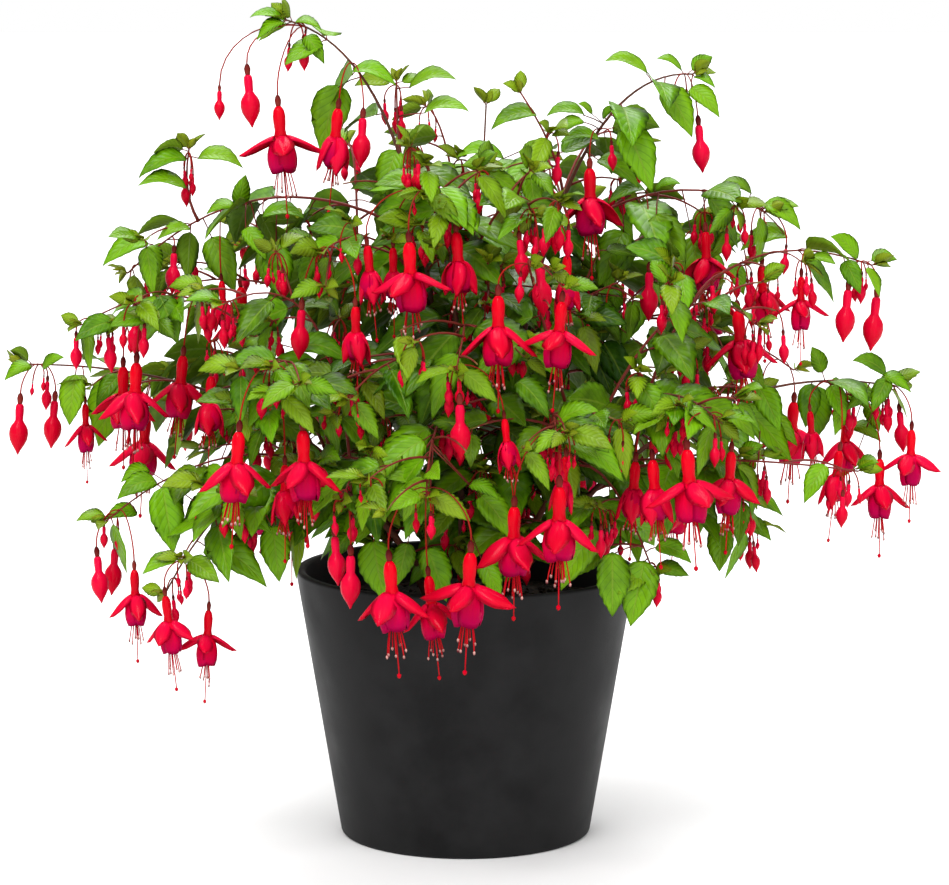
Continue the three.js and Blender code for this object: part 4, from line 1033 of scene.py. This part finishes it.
def add_large_leaves(growth, name, grown):
    """The leaves with a measured place, each moved back until it is clear of the blooms."""
    line = np.concatenate([stem.point(np.linspace(0.1, 1, 60)[:, None]) for stem in grown.values()])
    for key, (x, y, z, tip_x, tip_z) in enumerate(LARGE_LEAVES.get(name, [])):
        start, end = np.array([(x, y, z), (tip_x, y - TIP_NEARER, tip_z)]) * MM
        stalk = line[np.linalg.norm(line - start, axis=1).argmin()]
        long = np.linalg.norm(end - start)
        level = abs(end[0] - start[0]) / long
        bend = (start + end) / 2 + np.array([0, -0.10, 0.36 * level]) * long
        tilt = 0.2 + level ** 2 * (TILT_RISE * start[2] - TILT_LOW)
        face = np.array([0.5 * (draw(key, 1, 12) - 0.5), -1, tilt])
        wide = long * (LARGE_WIDTH - 0.08 * level + 0.08 * draw(key, 3, 12))
        for back in BACK_STEPS:
            curve = np.array([start, bend, end]) + (0, back * MM, 0)
            if add_blade(growth, stalk, curve, face, wide, LARGE_CUP, 0.15 * draw(key, 2, 12), key):
                break


def leaf_direction(along, turn, size, forward):
    side = np.cross((0, 1, 0) if abs(along[1]) < 0.9 else (1, 0, 0), along)
    side = unit(side)
    out = unit(math.cos(turn) * side + math.sin(turn) * np.cross(along, side) + forward * along)
    out[2] = out[2] * 0.5 - LEAF_HANG * (size - YOUNG_SIZE)
    return unit(out)


def edge(place):
    """How far out in the bush a place is: below 1 in its dense core, and above 1 outside it."""
    return np.linalg.norm((place / MM - CORE_CENTRE) / CORE_REACH)


def tip_leaves(growth, stem, seed):
    """Three pairs of ever smaller and younger leaves at the tip of a stem."""
    for step, size in enumerate(TIP_SIZES):
        for way in (0, 1):
            turn = (step + 0.5) * math.pi / 2 + way * math.pi
            out = unit(leaf_direction(stem.along(1.0), turn, size, 1.0 + step) + (0, 0, 0.25))
            youth = 0.45 + 0.25 * step
            add_leaf(growth, stem.point(1.0), out, size, 0.1, 0.5, youth, seed * 7 + step * 2 + way)


def leaf_pairs(growth, stem, seed, spacing, growing):
    """Pairs of leaves from the tip of a stem backwards, each larger than the one before."""
    pairs = max(1, int(stem.length * LEAFY_SHARE / (spacing * MM)))
    for pair in range(pairs):
        t = FIRST_PAIR - pair * spacing * MM / stem.length
        if stem.name == "trunk" and stem.point(t)[2] < BARE_BELOW * MM:
            continue
        if pair % 2 == 1 and edge(stem.point(t)) > 1.05:
            continue
        for way in (0, 1):
            key = seed * 31 + pair * 2 + way
            size = min(1.0, FIRST_LEAF + pair * growing) * (0.82 + 0.36 * draw(seed, pair, 2 + way))
            turn = (pair % 2 + pair // 2 * 0.5) * math.pi / 2 + (draw(seed, pair, 1) - 0.5) * 0.9
            out = leaf_direction(stem.along(t), turn + way * math.pi, size, 0.55)
            youth = max(0.0, 0.4 - pair * 0.3) * draw(key, 4, 4) ** 2 + 0.1 * draw(key, 5, 4)
            add_leaf(growth, stem.point(t), out, size, 0.18 + 0.3 * draw(seed, pair, 4 + way),
                     0.10 + 0.25 * draw(seed, pair, 6 + way), youth, key)
    tip_leaves(growth, stem, seed)


def add_stem(growth, stem, sides, youth):
    steps = max(6, int(stem.length / (14 * MM)))
    t = np.linspace(0, 1, steps + 1)
    path = curve_points(stem.curve, steps)
    radii = stem.radius_at(t)
    if stem.name == "trunk":
        path = np.concatenate([[path[0] - (0, 0, (ROOT_DEPTH + ROOT_NECK) * MM)], path])
        radii = np.concatenate([[radii[0]], radii])
    form = tube_form(len(path) - 1, sides)
    growth.add(lay_tube(form, path, radii), form, BARK, (draw(len(stem.name), 1, 1), youth, 0))


def add_young_buds(growth, stem, key):
    """A few small, tight buds on short stalks round the tip of a shoot."""
    joint = stem.point(0.97)
    if in_open_air(joint[None]):
        return
    for i in range(2 + int(4 * draw(key, 7, 5))):
        turn = i * GOLDEN_TURN + draw(key, 8, 5)
        out = (3 + 6 * draw(key, i, 13)) * MM
        place = (out * math.cos(turn), out * math.sin(turn), -(4 + 12 * draw(key, i, 14)) * MM)
        size = 0.22 + 0.36 * draw(key, i, 15)
        if inside_frame(np.array([joint + place - (0, 0, 45 * size * MM)])):
            hang_flower(growth, joint, joint + place, "young", size, key + i)


def twig_places(stem):
    """How far along a stem its twigs stand: closer together near the foot of a rooted one."""
    places = [0.9]
    while places[-1] > 0.08:
        low = stem.name == "trunk" and stem.point(places[-1])[2] < LOW_TWIGS * MM
        places.append(places[-1] - (LOW_SPACING if low else TWIG_SPACING) * MM / stem.length)
    return [t for t in places if t > (0.08 if stem.name == "trunk" else 0.2)]


def add_twigs(growth, stem, seed):
    """Short side twigs that fill the bush, from leaf joints along a stem."""
    for i, t in enumerate(twig_places(stem)):
        start = stem.point(t)
        key = seed * 13 + i
        if start[2] < TWIGS_ABOVE * MM or edge(start) > 1 + 0.25 * draw(key, 4, 5):
            continue
        out = leaf_direction(stem.along(t), draw(key, 1, 5) * 2 * math.pi, YOUNG_SIZE, 0.8)
        reach = (TWIG_REACH + TWIG_SPREAD * draw(key, 2, 5)) * MM * (1.15 - 0.5 * t)
        if start[2] < LOW_TWIGS * MM:
            round_axis = draw(key, 3, 5) * 2 * math.pi
            out = unit(out * 0.4 + np.array([math.cos(round_axis), math.sin(round_axis), 0.1]))
            reach *= 1.1
        bend = start + out * reach * 0.5 + (0, 0, reach * 0.16)
        end = start + out * reach - (0, 0, reach * 0.05)
        if not inside_frame(np.array([end - 6 * MM, end + 6 * MM])) or in_open_air(np.array([bend, end])):
            continue
        twig = Stem("twig", start, bend, end, TWIG_RADIUS * MM, 3)
        add_stem(growth, twig, 4, 0.9)
        leaf_pairs(growth, twig, key, TWIG_LEAF_SPACING, 0.20)
        if draw(key, 6, 5) < BUDDING:
            add_young_buds(growth, twig, key)


def leaf_finish(name, dark, mid, vein, roughness, specular, relief):
    """A leaf's green, pale along its midrib, dark in its side veins, yellower where young, and darker in the
    bush's core, which is painted shade.
    """
    material = new_material(name, roughness, specular)
    s, v = form_map(material)
    across = maths(material, "ABSOLUTE", maths(material, "MULTIPLY_ADD", v, 2, -1))
    lag = maths(material, "MULTIPLY", across, VEIN_LAG)
    lag = maths(material, "SUBTRACT", s, lag)
    wave = maths(material, "PINGPONG", maths(material, "MULTIPLY", lag, VEIN_PITCH), 0.5)
    side_vein = spread(material, wave, 0.02, 0.10, 1, 0)
    midrib = spread(material, across, 0.03, 0.09, 1, 0)
    patch = spread(material, object_noise(material, 90, 3), 0.3, 0.7, -0.3, 0.3)
    # The first tone mixes dark into mid green: a random share for each leaf, and painted shade in the bush's
    # core.
    green = blend(material, maths(material, "ADD", tone_part(material, 0), patch), dark, mid)
    green = blend(material, tone_part(material, 1), green, LEAF_YOUNG)
    sunk = maths(material, "MAXIMUM", maths(material, "MULTIPLY", side_vein, 0.35),
                 spread(material, across, 0.88, 0.98, 0, 0.4))
    green = blend(material, sunk, green, dark)
    green = blend(material, maths(material, "MULTIPLY", midrib, 0.5), green, vein)
    to_shader(material, "Base Color", green)
    quilt = maths(material, "SINE", maths(material, "MULTIPLY", wave, math.pi))
    quilt = maths(material, "SUBTRACT", quilt, maths(material, "MULTIPLY", midrib, 1.2))
    add_bump(material, quilt, relief * MM, 0.7)
    return material


def bark_finish():
    """Brown bark at the foot of a stem, redder and then greener towards its tip."""
    material = new_material("red_brown_bark", 0.5, 0.12)
    s, v = form_map(material)
    fleck = object_noise(material, 180, 5, (1, 1, 0.25))
    aged = maths(material, "ADD", spread(material, fleck, 0.3, 0.7, -0.2, 0.2), tone_part(material, 1))
    red = blend(material, spread(material, aged, 0.0, 0.6), STEM_BROWN, STEM_RED)
    young = spread(material, maths(material, "MULTIPLY", s, aged), 0.75, 1.1)
    to_shader(material, "Base Color", blend(material, young, red, STEM_GREEN))
    add_bump(material, fleck, 0.5 * MM)
    return material


plant_materials = flower_materials + [
    bark_finish(),
    leaf_finish("leaf_top", LEAF_DARK, LEAF_MID, LEAF_VEIN, 0.31, 0.13, 0.25),
    leaf_finish("leaf_underside", UNDER_DARK, UNDER_MID, UNDER_VEIN, 0.6, 0.08, -0.22),
]
for order, (name, grown) in enumerate(stems.items()):
    growth = Growth()
    for i, stem in enumerate(grown.values()):
        rooted = stem.name == "trunk"
        add_stem(growth, stem, 8 if rooted else 6, 0.1 if rooted else 0.6)
        leaf_pairs(growth, stem, order * 7 + i, LEAF_SPACING, 0.15)
        add_twigs(growth, stem, order * 7 + i)
        add_young_buds(growth, stem, order * 7 + i)
    add_large_leaves(growth, name, grown)
    leafy = growth.make(f"stem_and_leaves_{name}", plant_materials)
    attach(leafy, "root")
    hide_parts(f"leafy_stem_{name}")


# The setting: a plain white floor, soft even light from above and both sides, and a camera at
# the viewing angle of the photograph. None of it is part of the plant.
FLOOR_SIZE = 60
PAPER_WHITE = (0.75, 0.75, 0.75, 1)
SKY_LIGHT = 0.55
CAMERA_TILT = 82.11
CAMERA_LENS = 130.7

bpy.ops.object.select_all(action="DESELECT")
bpy.ops.mesh.primitive_plane_add(size=FLOOR_SIZE, location=(0, 0, 0))
floor = bpy.context.object
floor.name = "studio_floor"
paper = new_material("white_paper", 0.9, 0.05)
paper.node_tree.nodes["Principled BSDF"].inputs["Base Color"].default_value = PAPER_WHITE
floor.data.materials.append(paper)
floor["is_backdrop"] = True


def soft_light(name, source, strength, width):
    """Even light from one side, as wide as a soft box that fills an angle of the sky."""
    light = bpy.data.lights.new(name, "SUN")
    light.energy = strength
    light.angle = math.radians(width)
    lamp = bpy.data.objects.new(name, light)
    lamp.rotation_euler = (-Vector(source)).to_track_quat("-Z", "Y").to_euler()
    bpy.context.scene.collection.objects.link(lamp)


soft_light("key_light", (-0.45, -0.8, 1.2), 2.2, 30)
soft_light("fill_light", (0.20, -1.0, 0.65), 1.9, 80)
soft_light("top_light", (0.0, 0.6, 1), 3.4, 50)

world = bpy.data.worlds.new("studio_white")
world.use_nodes = True
world.node_tree.nodes["Background"].inputs["Color"].default_value = (1, 1, 1, 1)
rays = world.node_tree.nodes.new("ShaderNodeLightPath").outputs
strength = add_node(world, "ShaderNodeMapRange", {"Value": rays["Is Camera Ray"], "To Min": SKY_LIGHT})
world.node_tree.links.new(strength, world.node_tree.nodes["Background"].inputs["Strength"])
scene = bpy.context.scene
scene.world = world
scene.view_settings.view_transform = "Standard"
scene.view_settings.look = "None"

camera = bpy.data.cameras.new("camera")
camera.lens = CAMERA_LENS
camera.sensor_width = 36
viewer = bpy.data.objects.new("camera", camera)
viewer.location = CAMERA_PLACE
viewer.rotation_euler = (math.radians(CAMERA_TILT), 0, 0)
scene.collection.objects.link(viewer)
scene.camera = viewer


def plain(corners):
    return [[float(value) for value in corner] for corner in corners]


{"cad": plain(cad_box), "visual": plain(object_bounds())}
